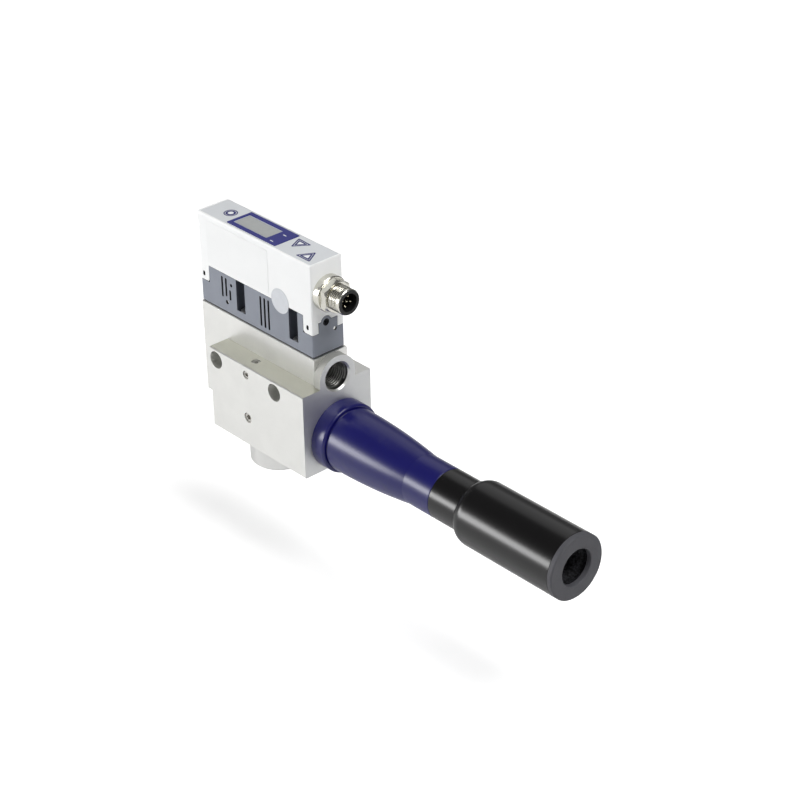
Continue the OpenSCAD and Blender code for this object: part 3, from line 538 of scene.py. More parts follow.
# Glass filled and moulded: flat black.
INSERT = Finish(
    "moulded_black_polyamide", "060607", 0.5, NON_METAL, Grain(0.3, 0.006), Mottle(0.1, 3.0)
)
# Bright zinc on cold headed screws: pale satin, a little milky from its passivation.
ZINC = Finish("zinc_plated_steel", "e9eaeb", 0.4, 0.85, Grain(0.3, 0.003), Mottle(0.08, 2.0))
# Blackened in hot oil: dark satin that still mirrors a little.
BLACK_SCREW = Finish("black_oxide_steel", "2a2b2d", 0.4, METAL, Grain(0.3, 0.003), Mottle(0.1, 2.0))
# Stamped or turned and left bare: mid grey satin.
BARE_STEEL = Finish("bare_steel", "b3b1ab", 0.38, METAL, Grain(0.3, 0.003), Mottle(0.1, 2.0))
# Hardened with a ground face: brighter than the block round it.
PLUG_STEEL = Finish(
    "bright_grub_screw_steel", "cfcdc8", 0.35, METAL,
    Grain(0.3, 0.003), Mottle(0.06, 2.0),
)
# Ground and polished: a small bright mirror.
PIN_STEEL = Finish("polished_steel_pin", "e2e2e0", 0.2, METAL, Grain(0.3, 0.001), Mottle(0.05, 2.0))
# Drawn wire: pale satin, with draw marks too fine to show.
SPRING = Finish("drawn_spring_steel", "bdbdb9", 0.35, METAL, Grain(0.2, 0.002), Mottle(0.08, 1.0))
# Moulded in a matt tool: near black without gloss.
RUBBER = Finish(
    "moulded_nitrile_rubber", "1a1a1b", 0.7, NON_METAL, Grain(0.3, 0.008), Mottle(0.15, 3.0)
)
# Turned and left bare: yellow with fine rings.
BRASS = Turned("turned_brass", "c39b4e", 0.34, METAL, Grain(0.4, 0.002), Mottle(0.06, 4.0))
# Injection moulded and self coloured: dark satin.
ACETAL = Finish(
    "moulded_black_acetal", "2a2c30", 0.45, NON_METAL, Grain(0.4, 0.004), Mottle(0.1, 4.0)
)
# Solder mask over glass fibre: glossy deep green.
BOARD = Finish("green_solder_mask", "1d5a38", 0.35, NON_METAL, Grain(0.5, 0.004), Mottle(0.1, 3.0))
# Blank label under a satin film: nearly white.
LABEL = Finish(
    "blank_polyester_label", "f4f5f5", 0.4, NON_METAL, Grain(0.6, 0.003), Mottle(0.015, 12.0)
)
# Thin metallised film: pale silver that mirrors softly.
SEAL = Finish("plain_silver_film", "d3d6db", 0.35, 0.3, Grain(0.3, 0.004), Mottle(0.04, 3.0))
# Etched from rolled sheet: grey satin.
SCREEN = Finish(
    "etched_stainless_sheet", "a8a8a6", 0.35, METAL, Grain(0.3, 0.003), Mottle(0.06, 3.0)
)

SLOT_FINISH: dict[str, Finish] = {
    "body_aluminium": BLASTED,
    "socket_aluminium": TURNED_ALUMINIUM,
    "wire_screen": SCREEN,
    "guide_steel": BARE_STEEL,
    "poppet_rubber": RUBBER,
    "spring_steel": SPRING,
    "jet_brass": BRASS,
    "receiver_aluminium": TURNED_ALUMINIUM,
    "blue_anodised": BLUE_OXIDE,
    "oring_rubber": RUBBER,
    "black_anodised": BLACK_OXIDE,
    "sintered_plastic": SINTERED,
    "cap_plastic": CAP_PLASTIC,
    "piston_plastic": ACETAL,
    "gasket_rubber": RUBBER,
    "base_plastic": BASE_PLASTIC,
    "cover_plastic": COVER_PLASTIC,
    "foil_polyester": FOIL,
    "frame_blue": FRAME_BLUE,
    "lcd_panel": LCD,
    "dome_steel": BARE_STEEL,
    "board_laminate": BOARD,
    "coil_plastic": ACETAL,
    "sensor_plastic": ACETAL,
    "nickel_plated": NICKEL,
    "insert_plastic": INSERT,
    "contact_gold": GOLD,
    "screw_steel": ZINC,
    "dark_screw": BLACK_SCREW,
    "plug_steel": PLUG_STEEL,
    "pin_steel": PIN_STEEL,
    "label_film": LABEL,
    "seal_film": SEAL,
}


# ---- mesh helpers -------------------------------------------------------------------------


def new_object(name: str, shape: bmesh.types.BMesh, smooth_deg: float = 32.0) -> Piece:
    """Turns a bmesh into an object at the origin, smooth but for its sharp edges.

    Args:
        name: Name of the piece.
        shape: The mesh, which is freed.
        smooth_deg: Edges that turn more than this stay sharp.

    Returns:
        The object, linked to the scene.
    """
    mesh = bpy.data.meshes.new(name)
    shape.to_mesh(mesh)
    shape.free()
    mesh.shade_smooth()
    mesh.set_sharp_from_angle(angle=math.radians(smooth_deg))
    made = bpy.data.objects.new(name, mesh)
    bpy.context.scene.collection.objects.link(made)
    return made


def ring_surface(
    rings: Sequence[Sequence[Vector]], closed: bool, caps: bool = False
) -> bmesh.types.BMesh:
    """Joins rings of equal length into a skin.

    Args:
        rings: Rings of points, each in order about the axis.
        closed: Whether the last ring joins the first.
        caps: Whether the first and last rings are filled.

    Returns:
        The skin, with its normals outwards.
    """
    shape = bmesh.new()
    rows = [[shape.verts.new(p) for p in ring] for ring in rings]
    pairs = list(zip(rows, rows[1:]))
    if closed:
        pairs.append((rows[-1], rows[0]))
    for low, high in pairs:
        for i in range(len(low)):
            j = (i + 1) % len(low)
            shape.faces.new((low[i], low[j], high[j], high[i]))
    if caps:
        shape.faces.new(list(reversed(rows[0])))
        shape.faces.new(rows[-1])
    bmesh.ops.recalc_face_normals(shape, faces=shape.faces)
    return shape


def turned_piece(
    name: str, outline: Sequence[Pair], centre: Pair = (0.0, 0.0), steps: int = 160
) -> Piece:
    """Turns a closed outline about an axis along X.

    Args:
        name: Name of the piece.
        outline: Corners as place along the axis and radius, in millimetres, all off the axis.
        centre: Where the axis lies, as y and z.
        steps: Divisions about the axis.

    Returns:
        The piece.
    """
    turns = [2 * math.pi * i / steps for i in range(steps)]
    rings = [
        [at(x, centre[0] + r * math.cos(turn), centre[1] + r * math.sin(turn)) for turn in turns]
        for x, r in outline
    ]
    return new_object(name, ring_surface(rings, closed=True))


def arc(centre: Pair, radius: float, start_deg: float, end_deg: float, steps: int) -> list[Pair]:
    """Points on an arc, for an outline.

    Args:
        centre: Place along the axis and radius of the arc's centre.
        radius: Radius of the arc.
        start_deg: First angle, from the axis.
        end_deg: Last angle.
        steps: Number of parts.

    Returns:
        Pairs of place and radius.
    """
    turns = [math.radians(start_deg + (end_deg - start_deg) * i / steps) for i in range(steps + 1)]
    return [(centre[0] + radius * math.cos(t), centre[1] + radius * math.sin(t)) for t in turns]


def apply_modifiers(piece: Piece) -> None:
    """Makes a piece's modifiers part of its mesh.

    Args:
        piece: The piece, which keeps its name.
    """
    graph = bpy.context.evaluated_depsgraph_get()
    baked = bpy.data.meshes.new_from_object(piece.evaluated_get(graph))
    piece.modifiers.clear()
    old = piece.data
    piece.data = baked
    bpy.data.meshes.remove(old)


def soft_edged(
    node: str,
    name: str,
    edge: Edge,
    angle_deg: float = 35.0,
    reshape: Reshape | None = None,
) -> Piece:
    """Copies a CAD node and rounds its sharp edges.

    Args:
        node: CAD node to copy.
        name: Name of the copy.
        edge: How far the edges are rounded.
        angle_deg: Only edges that turn more than this are rounded.
        reshape: Changes the merged copy before its edges are rounded.

    Returns:
        The copy.
    """
    shape = bmesh.new()
    shape.from_mesh(frame["nodes"][node].data)
    bmesh.ops.remove_doubles(shape, verts=shape.verts, dist=MERGE_M)
    bmesh.ops.dissolve_degenerate(shape, edges=shape.edges, dist=SLIVER_M)
    bmesh.ops.dissolve_limit(
        shape, angle_limit=math.radians(FLAT_DEG), verts=shape.verts, edges=shape.edges
    )
    for layer in list(shape.loops.layers.uv.values()):
        shape.loops.layers.uv.remove(layer)
    if reshape:
        reshape(shape)
    piece = new_object(name, shape)
    width, segments = edge.value
    bevel = piece.modifiers.new("edges", "BEVEL")
    bevel.width = width * MM
    bevel.segments = segments
    bevel.limit_method = "ANGLE"
    bevel.angle_limit = math.radians(angle_deg)
    bevel.use_clamp_overlap = True
    bevel.miter_outer = "MITER_ARC"
    bevel.harden_normals = False
    weights = piece.modifiers.new("weights", "WEIGHTED_NORMAL")
    weights.keep_sharp = True
    apply_modifiers(piece)
    return piece


def hand_over(piece: Piece, finish: Finish, node: str | None = None) -> None:
    """Gives a piece its finish, hangs it on the body and hides the CAD node that it stands for.

    Args:
        piece: The finished piece.
        finish: Its finish.
        node: CAD node that it stands for, if any.
    """
    piece.data.materials.clear()
    piece.data.materials.append(finish.build())
    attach(piece, BODY)
    if node:
        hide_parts(node)
    LOG.info("%s: %d faces", piece.name, len(piece.data.polygons))


def dressed_copy(
    node: str,
    name: str,
    edge: Edge,
    angle_deg: float = 35.0,
    reshape: Reshape | None = None,
) -> Piece:
    """Copies a CAD node with soft edges, to stand for it in the finish of its material slot.

    Args:
        node: CAD node to copy.
        name: Name of the copy.
        edge: How far the edges are rounded.
        angle_deg: Only edges that turn more than this are rounded.
        reshape: Changes the merged copy before its edges are rounded.

    Returns:
        The copy, already handed over.
    """
    piece = soft_edged(node, name, edge, angle_deg, reshape)
    slot = NODE_SLOT[node]
    hand_over(piece, SLOT_FINISH[slot], node)
    return piece


def refinish(piece: Piece, finish: Finish, wanted: FaceTest) -> None:
    """Gives some faces of a piece another finish.

    Args:
        piece: The piece, already handed over.
        finish: Finish of those faces.
        wanted: Tells from a face's middle, in millimetres as at() takes it, and its normal
            whether the face gets the finish.
    """
    piece.data.materials.append(finish.build())
    origin = at(0, 0, 0)
    for face in piece.data.polygons:
        if wanted((face.center - origin) / MM, face.normal):
            face.material_index = len(piece.data.materials) - 1


def rounded_loop(corners: Sequence[Pair], radius: float, steps: int = 6) -> list[Pair]:
    """Rounds the corners of a convex outline that runs anticlockwise.

    Args:
        corners: Corners of the outline.
        radius: Radius at each corner.
        steps: Parts of each round.

    Returns:
        Points of the rounded outline.
    """
    points: list[Pair] = []
    count = len(corners)
    for i in range(count):
        before, here, after = (Vector(corners[(i + k) % count]) for k in (-1, 0, 1))
        a, b = (before - here).normalized(), (after - here).normalized()
        half = math.acos(max(-1.0, min(1.0, a.dot(b)))) / 2
        centre = here + (a + b).normalized() * (radius / math.sin(half))
        start = here + a * (radius / math.tan(half)) - centre
        end = here + b * (radius / math.tan(half)) - centre
        turn = math.atan2(start.x * end.y - start.y * end.x, start.dot(end))
        first = math.atan2(start.y, start.x)
        for k in range(steps + 1):
            t = first + turn * k / steps
            points.append((centre.x + radius * math.cos(t), centre.y + radius * math.sin(t)))
    return points


def inset(corners: Sequence[Pair], distance: float) -> list[Pair]:
    """Moves every side of a convex anticlockwise outline inwards.

    Args:
        corners: Corners of the outline.
        distance: How far the sides move.

    Returns:
        The corners of the smaller outline.
    """
    moved: list[Pair] = []
    count = len(corners)
    for i in range(count):
        before, here, after = (Vector(corners[(i + k) % count]) for k in (-1, 0, 1))
        a, b = (before - here).normalized(), (after - here).normalized()
        half = math.acos(max(-1.0, min(1.0, a.dot(b)))) / 2
        corner = here + (a + b).normalized() * (distance / math.sin(half))
        moved.append((corner.x, corner.y))
    return moved


def flat_plate(
    name: str, outer: Sequence[Pair], inner: Sequence[Pair] | None, z: float, thickness: float
) -> Piece:
    """A thin plate on the top of the head, with a hole where an inner outline is given.

    Args:
        name: Name of the piece.
        outer: Outline as x and y in millimetres.
        inner: Outline of the hole, with as many points.
        z: Height of its underside.
        thickness: Thickness.

    Returns:
        The piece.
    """
    top = z + thickness
    rings = [[at(x, y, z) for x, y in outer], [at(x, y, top) for x, y in outer]]
    if inner is None:
        return new_object(name, ring_surface(rings, closed=False, caps=True))
    rings += [[at(x, y, top) for x, y in inner], [at(x, y, z) for x, y in inner]]
    return new_object(name, ring_surface(rings, closed=True))


def circle_loop(centre: Pair, radius: float, steps: int = 64) -> list[Pair]:
    """Points of a circle, anticlockwise."""
    turns = (2 * math.pi * i / steps for i in range(steps))
    return [(centre[0] + radius * math.cos(t), centre[1] + radius * math.sin(t)) for t in turns]


# ---- threads ------------------------------------------------------------------------------


@dataclass(frozen=True)
class ThreadRidge:
    """The ridge of a screw thread, swept along its helix by Geometry Nodes.

    Attributes:
        radius_mm: Radius of the helix through the ridge's root.
        pitch_mm: Rise of one turn.
        length_mm: Length of thread.
        depth_mm: Height of the ridge towards the axis, less than 0 where it points away from it.
        half_foot: Half the width of the ridge's foot, as a share of the pitch.
    """

    radius_mm: float
    pitch_mm: float
    length_mm: float
    depth_mm: float
    half_foot: float = 0.42

    def tree(self, material: bpy.types.Material) -> Tree:
        """Builds the tree that sweeps a pointed ridge along a helix.

        Args:
            material: Material of the ridge.

        Returns:
            The node group with the inputs Radius, Pitch, Turns and Depth.
        """
        tree = bpy.data.node_groups.new("thread_ridge", "GeometryNodeTree")
        for name in ("Radius", "Pitch", "Turns", "Depth"):
            tree.interface.new_socket(name, in_out="INPUT", socket_type="NodeSocketFloat")
        tree.interface.new_socket("Geometry", in_out="OUTPUT", socket_type="NodeSocketGeometry")
        given = add_node(tree, "NodeGroupInput").outputs
        rise = add_node(
            tree,
            "ShaderNodeMath",
            {0: given["Pitch"], 1: given["Turns"]},
            operation="MULTIPLY",
        ).outputs[0]
        helix = add_node(
            tree,
            "GeometryNodeCurveSpiral",
            {
                "Resolution": 40,
                "Rotations": given["Turns"],
                "Start Radius": given["Radius"],
                "End Radius": given["Radius"],
                "Height": rise,
            },
        ).outputs["Curve"]
        half = add_node(
            tree, "ShaderNodeMath", {0: given["Pitch"], 1: self.half_foot}, operation="MULTIPLY"
        ).outputs[0]
        back = add_node(
            tree, "ShaderNodeMath", {0: half, 1: -1.0}, operation="MULTIPLY"
        ).outputs[0]
        corners = [
            add_node(tree, "ShaderNodeCombineXYZ", {"X": 0.0, "Y": half}).outputs[0],
            add_node(tree, "ShaderNodeCombineXYZ", {"X": given["Depth"], "Y": 0.0}).outputs[0],
            add_node(tree, "ShaderNodeCombineXYZ", {"X": 0.0, "Y": back}).outputs[0],
        ]
        outline = add_node(
            tree,
            "GeometryNodeCurvePrimitiveQuadrilateral",
            {"Point 1": corners[0], "Point 2": corners[1], "Point 3": corners[2],
             "Point 4": corners[2]},
            mode="POINTS",
        ).outputs["Curve"]
        upright = add_node(
            tree,
            "GeometryNodeSetCurveNormal",
            {"Curve": helix},
            mode="Z_UP",
        ).outputs["Curve"]
        ridge = add_node(
            tree,
            "GeometryNodeCurveToMesh",
            {"Curve": upright, "Profile Curve": outline, "Fill Caps": True},
        ).outputs["Mesh"]
        real = add_node(tree, "GeometryNodeRealizeInstances", {"Geometry": ridge}).outputs[0]
        done = add_node(
            tree, "GeometryNodeSetMaterial", {"Geometry": real, "Material": material}
        ).outputs[0]
        add_node(tree, "NodeGroupOutput", {"Geometry": done})
        return tree

    def build(self, name: str, base: Vector, turn: Matrix, finish: Finish) -> Piece:
        """Makes the ridge as a plain mesh.

        Args:
            name: Name of the piece.
            base: Start of the thread on its axis.
            turn: Turns the Z axis to the thread's axis.
            finish: Finish of the ridge.

        Returns:
            The piece, with its place in its mesh.
        """
        piece = bpy.data.objects.new(name, bpy.data.meshes.new(name))
        bpy.context.scene.collection.objects.link(piece)
        group = self.tree(finish.build())
        modifier = piece.modifiers.new("thread", "NODES")
        modifier.node_group = group
        sizes = {
            "Radius": self.radius_mm * MM,
            "Pitch": self.pitch_mm * MM,
            "Turns": self.length_mm / self.pitch_mm,
            "Depth": self.depth_mm * MM,
        }
        for item in group.interface.items_tree:
            if item.in_out == "INPUT":
                modifier[item.identifier] = sizes[item.name]
        apply_modifiers(piece)
        piece.data.transform(Matrix.Translation(base) @ turn)
        shape = bmesh.new()
        shape.from_mesh(piece.data)
        bmesh.ops.remove_doubles(shape, verts=shape.verts, dist=1e-7)
        bmesh.ops.recalc_face_normals(shape, faces=shape.faces)
        shape.to_mesh(piece.data)
        shape.free()
        return piece


TO_X = Matrix.Rotation(math.radians(90), 4, "Y")
TO_MINUS_Z = Matrix.Rotation(math.radians(180), 4, "X")


# ---- sub-assemblies -----------------------------------------------------------------------


@dataclass
class BodyBlock:
    """The machined body with its threaded air port, plugs and mounting holes.

    Attributes:
        port_z: Height of the air port.
        core_r: Core radius of the port's thread, as the solid has it.
        root_r: Radius at the roots of the thread.
        port_depth: Depth of the thread.
        mouth: Length of the countersink at the port's mouth.
        pitch: Pitch of the thread.
        boss_r: Radius of the boss round the port.
        boss_low: Place where the boss begins.
        hole_x: Places of the mounting holes along the block.
        hole_z: Their height.
        hole_r: Their radius.
        rail_front: Place of the rail's front face.
        ledge_z: Height of the ledge.
        rim: Depth at the port's mouth where the wall stays.
        face_depth: Depth at the port's mouth that still belongs to the end face.
        boss_near: How far off the boss's radius a face of its flank may lie.
        ledge_near: How far below the ledge a face of it may lie.
    """

    port_z: float = 28.6
    core_r: float = 5.7225
    root_r: float = 6.45
    port_depth: float = 12.0
    mouth: float = 1.5
    pitch: float = 1.337
    boss_r: float = 10.2
    boss_low: float = -4.35
    hole_x: Pair = (-19.8, -60.8)
    hole_z: float = 20.1
    hole_r: float = 4.2
    rail_front: float = -9.4
    ledge_z: float = 25.5
    rim: float = 0.5
    face_depth: float = 0.3
    boss_near: float = 0.3
    ledge_near: float = 0.2

    def open_port(self, shape: bmesh.types.BMesh) -> None:
        """Moves the port's wall from the core of its thread out to the roots.

        Args:
            shape: The merged copy of the block.
        """
        axis = at(0, 0, self.port_z)
        for vert in shape.verts:
            off = Vector((0.0, vert.co.y - axis.y, vert.co.z - axis.z))
            depth = (axis.x - vert.co.x) / MM
            on_core = abs(off.length / MM - self.core_r) < NEAR
            if on_core and self.rim < depth < self.port_depth + WALL_SLACK:
                vert.co += off.normalized() * (self.root_r - self.core_r) * MM

    def in_port(self, middle: Vector, _: Vector) -> bool:
        """Whether a face belongs to the wall of the port."""
        off = math.hypot(middle.y, middle.z - self.port_z)
        return off < self.root_r + WALL_SLACK and middle.x < -self.face_depth

    def on_end(self, middle: Vector, normal: Vector) -> bool:
        """Whether a face belongs to the block's end face."""
        return normal.x > FACING and middle.x > -WALL_SLACK

    def on_boss(self, middle: Vector, normal: Vector) -> bool:
        """Whether a face belongs to the flank of the round boss about the port."""
        off = abs(math.hypot(middle.y, middle.z - self.port_z) - self.boss_r)
        return off < self.boss_near and self.boss_low < middle.x < -NEAR and normal.x < FACING

    def in_mounting_hole(self, middle: Vector, normal: Vector) -> bool:
        """Tells whether a face belongs to the wall of a mounting hole.

        Args:
            middle: Middle of the face, in millimetres.
            normal: Its normal.

        Returns:
            True where it does.
        """
        return abs(normal.y) < 0.5 and any(
            math.hypot(middle.x - x, middle.z - self.hole_z) < self.hole_r + WALL_SLACK
            for x in self.hole_x
        )

    def on_ledge(self, middle: Vector, normal: Vector) -> bool:
        """Whether a face is the ledge in front of the rail."""
        high = middle.z > self.ledge_z - self.ledge_near
        return high and normal.z > FACING and middle.y < self.rail_front

    def build(self) -> None:
        """Makes the block, its grub screws and the thread of the air port."""
        block = dressed_copy("body_block", "machined_block", Edge.BROKEN, reshape=self.open_port)
        # Painted shade: the end face takes a darker grey than the rest of the block.
        refinish(block, END_FACE_PAINTED_SHADE, self.on_end)
        # Painted shade: the boss's round flank takes a darker grey, and a high roughness.
        refinish(block, BOSS_FLANK_PAINTED_SHADE, self.on_boss)
        refinish(block, HOLE_WALL, self.in_mounting_hole)
        # Painted shade: the ledge's top face takes a darker, warmer grey.
        refinish(block, LEDGE_PAINTED_SHADE, self.on_ledge)
        # Painted shade: the port's wall takes a dark grey of the same aluminium.
        refinish(block, PORT_PAINTED_SHADE, self.in_port)
        dressed_copy("channel_plugs", "grub_screws", Edge.CRISP)
        run, depth = self.port_depth - self.mouth - self.pitch, self.root_r - self.core_r
        thread = ThreadRidge(self.root_r + RIDGE_FOOT, self.pitch, run, depth + RIDGE_FOOT)
        base = at(-self.port_depth + self.pitch / 2, 0, self.port_z)
        # Painted shade: the thread's ridge takes the same dark grey.
        ridge = thread.build("air_port_thread", base, TO_X, PORT_PAINTED_SHADE)
        hand_over(ridge, PORT_PAINTED_SHADE)


@dataclass
class VacuumSocket:
    """The turned socket below the block, with its thread and screen.

    Attributes:
        axis_x: Place of its axis.
        low: Height of its lower end.
        core_r: Core radius of the thread, as the solid has it.
        root_r: Radius at the roots of the thread.
        thread_top: Upper end of the thread.
        pitch: Pitch of the thread.
        mouth: Length of the countersink at the lower end.
        rim: Depth at the lower end where the wall stays.
    """

    axis_x: float = -42.7
    low: float = -30.9
    core_r: float = 9.315
    root_r: float = 10.2
    thread_top: float = -20.4
    pitch: float = 1.814
    mouth: float = 1.2
    rim: float = 0.5

    def open_port(self, shape: bmesh.types.BMesh) -> None:
        """Moves the socket's wall from the core of its thread out to the roots.

        Args:
            shape: The merged copy of the socket.
        """
        axis = at(self.axis_x, 0, 0)
        start, end = at(0, 0, self.low + self.rim).z, at(0, 0, self.thread_top + 0.05).z
        for vert in shape.verts:
            off = Vector((vert.co.x - axis.x, vert.co.y - axis.y, 0.0))
            if abs(off.length / MM - self.core_r) < NEAR and start < vert.co.z < end:
                vert.co += off.normalized() * (self.root_r - self.core_r) * MM

    def build(self) -> None:
        """Makes the socket, its thread and the screen above it."""
        dressed_copy("vacuum_socket", "turned_socket", Edge.MACHINED, reshape=self.open_port)
        run, depth = self.thread_top - self.low - self.mouth - self.pitch, self.root_r - self.core_r
        thread = ThreadRidge(self.root_r + RIDGE_FOOT, self.pitch, run, depth + RIDGE_FOOT)
        base = at(self.axis_x, 0, self.thread_top - self.pitch / 2)
        ridge = thread.build("vacuum_port_thread", base, TO_MINUS_Z, TURNED_ALUMINIUM)
        hand_over(ridge, TURNED_ALUMINIUM)
        dressed_copy("port_screen", "perforated_screen", Edge.CRISP)


@dataclass
class NozzleLine:
    """The blue nozzle housing and the black silencer, turned on one axis.

    Attributes:
        flange_r: Radius of the flange.
        flange_end: End of the flange.
        flange_round: Radius of its rounded edge.
        groove_w: Width of the groove behind it.
        groove_r: Radius of the groove's floor.
        barrel_r: Radius where the flare begins.
        waist_r: Radius of the waist.
        waist_at: Place of the corner where the waist begins.
        seam_at: Place of the seam between housing and silencer.
        seam_edge: Chamfer on both sides of that seam.
        neck_end: End of the silencer's neck.
        shoulder_r: Radius of the silencer's shoulder.
        tube_r: Radius of the silencer.
        cap_at: Place of the seam between tube and end cap.
        end_at: Outer face of the end cap.
        outlet_r: Radius of the outlet.
        lining_r: Radius inside the tube.
        bore_r: Radius of the housing's bore at its foot.
        throat_r: Radius of its bore at the silencer.
        throat_at: Place of the step between them.
        foot_round: Radius of the flange's edge on the block.
        waist_step: How far the flare ends over the waist.
        edge: Width of a broken edge.
        cap_chamfer: Chamfer of the end cap.
        cap_round: Radius of the outlet's edge.
        neck_relief: Length of the taper from the neck to the shoulder.
        flare_steps: Steps along the housing's flare.
    """

    flange_r: float = 16.5
    flange_end: float = 8.0
    flange_round: float = 1.2
    groove_w: float = 1.1
    groove_r: float = 14.4
    barrel_r: float = 15.1
    waist_r: float = 11.75
    waist_at: float = 54.0
    seam_at: float = 70.0
    seam_edge: float = 0.28
    neck_end: float = 85.7
    shoulder_r: float = 7.4
    tube_r: float = 15.0
    cap_at: float = 143.3
    end_at: float = 145.7
    outlet_r: float = 8.4
    lining_r: float = 13.4
    bore_r: float = 9.0
    throat_r: float = 7.4
    throat_at: float = 60.0
    foot_round: float = 0.25
    waist_step: float = 0.03
    edge: float = 0.12
    cap_chamfer: float = 0.5
    cap_round: float = 0.4
    neck_relief: float = 0.3
    flare_steps: int = 48

    def flare(self) -> list[Pair]:
        """Draws the arc of the housing from the groove to the waist.

        Returns:
            Pairs of place and radius.
        """
        run = self.waist_at - self.flange_end
        drop = self.barrel_r - self.waist_r - self.waist_step
        radius = (run * run + drop * drop) / (2 * drop)
        start, steps = self.flange_end + self.groove_w, self.flare_steps
        places = [start + (run - self.groove_w) * i / steps for i in range(steps + 1)]
        return [
            (x, self.barrel_r - radius + math.sqrt(radius**2 - (x - self.flange_end) ** 2))
            for x in places
        ]

    def housing(self) -> Piece:
        """Turns the visible part of the blue housing, with its bore.

        Returns:
            The piece.
        """
        low, edge, seam = self.foot_round, self.edge, self.seam_edge
        outline = [(0.0, self.bore_r), (0.0, self.flange_r - low)]
        outline += arc((low, self.flange_r - low), low, 180, 90, 4)[1:]
        outline += arc(
            (self.flange_end - self.flange_round, self.flange_r - self.flange_round),
            self.flange_round, 90, 0, 12,
        )
        outline += [
            (self.flange_end, self.groove_r + edge),
            (self.flange_end + edge, self.groove_r),
            (self.flange_end + self.groove_w, self.groove_r),
        ]
        outline += self.flare()
        outline += [
            (self.waist_at, self.waist_r),
            (self.seam_at - seam, self.waist_r),
            (self.seam_at, self.waist_r - seam),
            (self.seam_at, self.throat_r),
            (self.throat_at, self.throat_r),
            (self.throat_at, self.bore_r),
        ]
        return turned_piece("nozzle_housing_turned", outline, steps=FINE_TURN)

    def silencer(self) -> Piece:
        """Turns the silencer's neck, shoulder and thin tube.

        Returns:
            The piece.
        """
        seam = self.seam_edge
        drop = self.tube_r - self.waist_r
        run = math.sqrt(self.shoulder_r**2 - (self.shoulder_r - drop) ** 2)
        start = self.neck_end + run
        turn = math.degrees(math.asin(run / self.shoulder_r))
        outline = [(self.seam_at, self.outlet_r), (self.seam_at, self.waist_r - seam)]
        outline += [
            (self.seam_at + seam, self.waist_r),
            (self.neck_end - self.neck_relief, self.waist_r),
        ]
        outline += arc((start, self.tube_r - self.shoulder_r), self.shoulder_r, 90 + turn, 90, 24)
        outline += [
            (self.cap_at - self.edge, self.tube_r),
            (self.cap_at, self.tube_r - self.edge),
            (self.cap_at, self.lining_r),
            (start, self.lining_r),
            (start, self.outlet_r),
        ]
        return turned_piece("silencer_tube_turned", outline, steps=FINE_TURN)

    def cap(self) -> Piece:
        """Turns the end cap with its chamfer and the round edge of the outlet.

        Returns:
            The piece.
        """
        outline = [
            (self.cap_at, self.outlet_r),
            (self.cap_at, self.tube_r - self.edge),
            (self.cap_at + self.edge, self.tube_r),
            (self.end_at - self.cap_chamfer, self.tube_r),
            (self.end_at, self.tube_r - self.cap_chamfer),
        ]
        centre = (self.end_at - self.cap_round, self.outlet_r + self.cap_round)
        outline += arc(centre, self.cap_round, 0, -90, 6)
        return turned_piece("end_cap_turned", outline)

    def build(self) -> None:
        """Makes the housing, the silencer and its cap."""
        hand_over(self.housing(), BLUE_OXIDE, "nozzle_housing")
        hand_over(self.silencer(), BLACK_OXIDE, "silencer_body")
        hand_over(self.cap(), CAP_PLASTIC, "silencer_cap")


@dataclass
class ValveHead:
    """The grey valve base and the white cover, with screws, pins and blank labels.

    Attributes:
        inner_low: Low corner of the space inside the valve base.
        inner_high: High corner of that space.
        well_x: Places of the screw wells along the head.
        well_half: Half their width, with a little to spare.
        latch_x: Places of the latch holes along the head.
        latch_z: Height of their middle.
        latch_half: Half the length of their straight part.
        latch_r: Radius of their ends.
    """

    inner_low: Point = (-82.6, -8.5, 39.5)
    inner_high: Point = (-6.0, 8.5, 57.5)
    well_x: Pair = (-18.2, -54.8)
    well_half: float = 3.3
    latch_x: Pair = (-80.9, -8.48)
    latch_z: float = 52.9
    latch_half: float = 0.45
    latch_r: float = 0.75

    def in_well(self, middle: Vector, normal: Vector) -> bool:
        """Tells whether a face belongs to one of the deep wells over the screws.

        Args:
            middle: Middle of the face, in millimetres.
            normal: Its normal.

        Returns:
            True where it does.
        """
        return self.is_inside(middle, normal) and any(
            abs(middle.x - x) < self.well_half for x in self.well_x
        )

    def in_latch(self, middle: Vector, normal: Vector) -> bool:
        """Tells whether a face belongs to the wall of a latch hole in the cover's lugs.

        Args:
            middle: Middle of the face, in millimetres.
            normal: Its normal.

        Returns:
            True where it does.
        """
        return abs(normal.y) < 0.5 and any(
            math.hypot(middle.x - x, max(abs(middle.z - self.latch_z) - self.latch_half, 0.0))
            < self.latch_r + WALL_SLACK
            for x in self.latch_x
        )

    def is_inside(self, middle: Vector, _: Vector) -> bool:
        """Whether a face of the valve base lies in its inner space."""
        return all(a < m < b for a, m, b in zip(self.inner_low, middle, self.inner_high))

    def build(self) -> None:
        """Makes the two mouldings and the small pieces on them."""
        base = dressed_copy("valve_base", "valve_base_moulding", Edge.CRISP)
        # Painted shade: the inner faces of the grey moulding take a near black colour.
        refinish(base, BASE_PAINTED_SHADE, self.is_inside)
        # Painted shade: the walls of the screw wells take a darker grey of the same plastic.
        refinish(base, WELL_PAINTED_SHADE, self.in_well)
        cover = dressed_copy("head_cover", "head_cover_moulding", Edge.MACHINED)
        # Painted shade: the walls of the cover's latch holes take the same near black colour.
        refinish(cover, BASE_PAINTED_SHADE, self.in_latch)
        for node, name, edge in (
            ("head_screws", "pan_head_screws", Edge.CRISP),
            ("display_foil", "keypad_foil", Edge.FILM),
            ("lcd_module", "display_module", Edge.CRISP),
            ("type_label", "blank_label", Edge.FILM),
            ("seal_label", "round_film_seal", Edge.FILM),
        ):
            dressed_copy(node, name, edge)


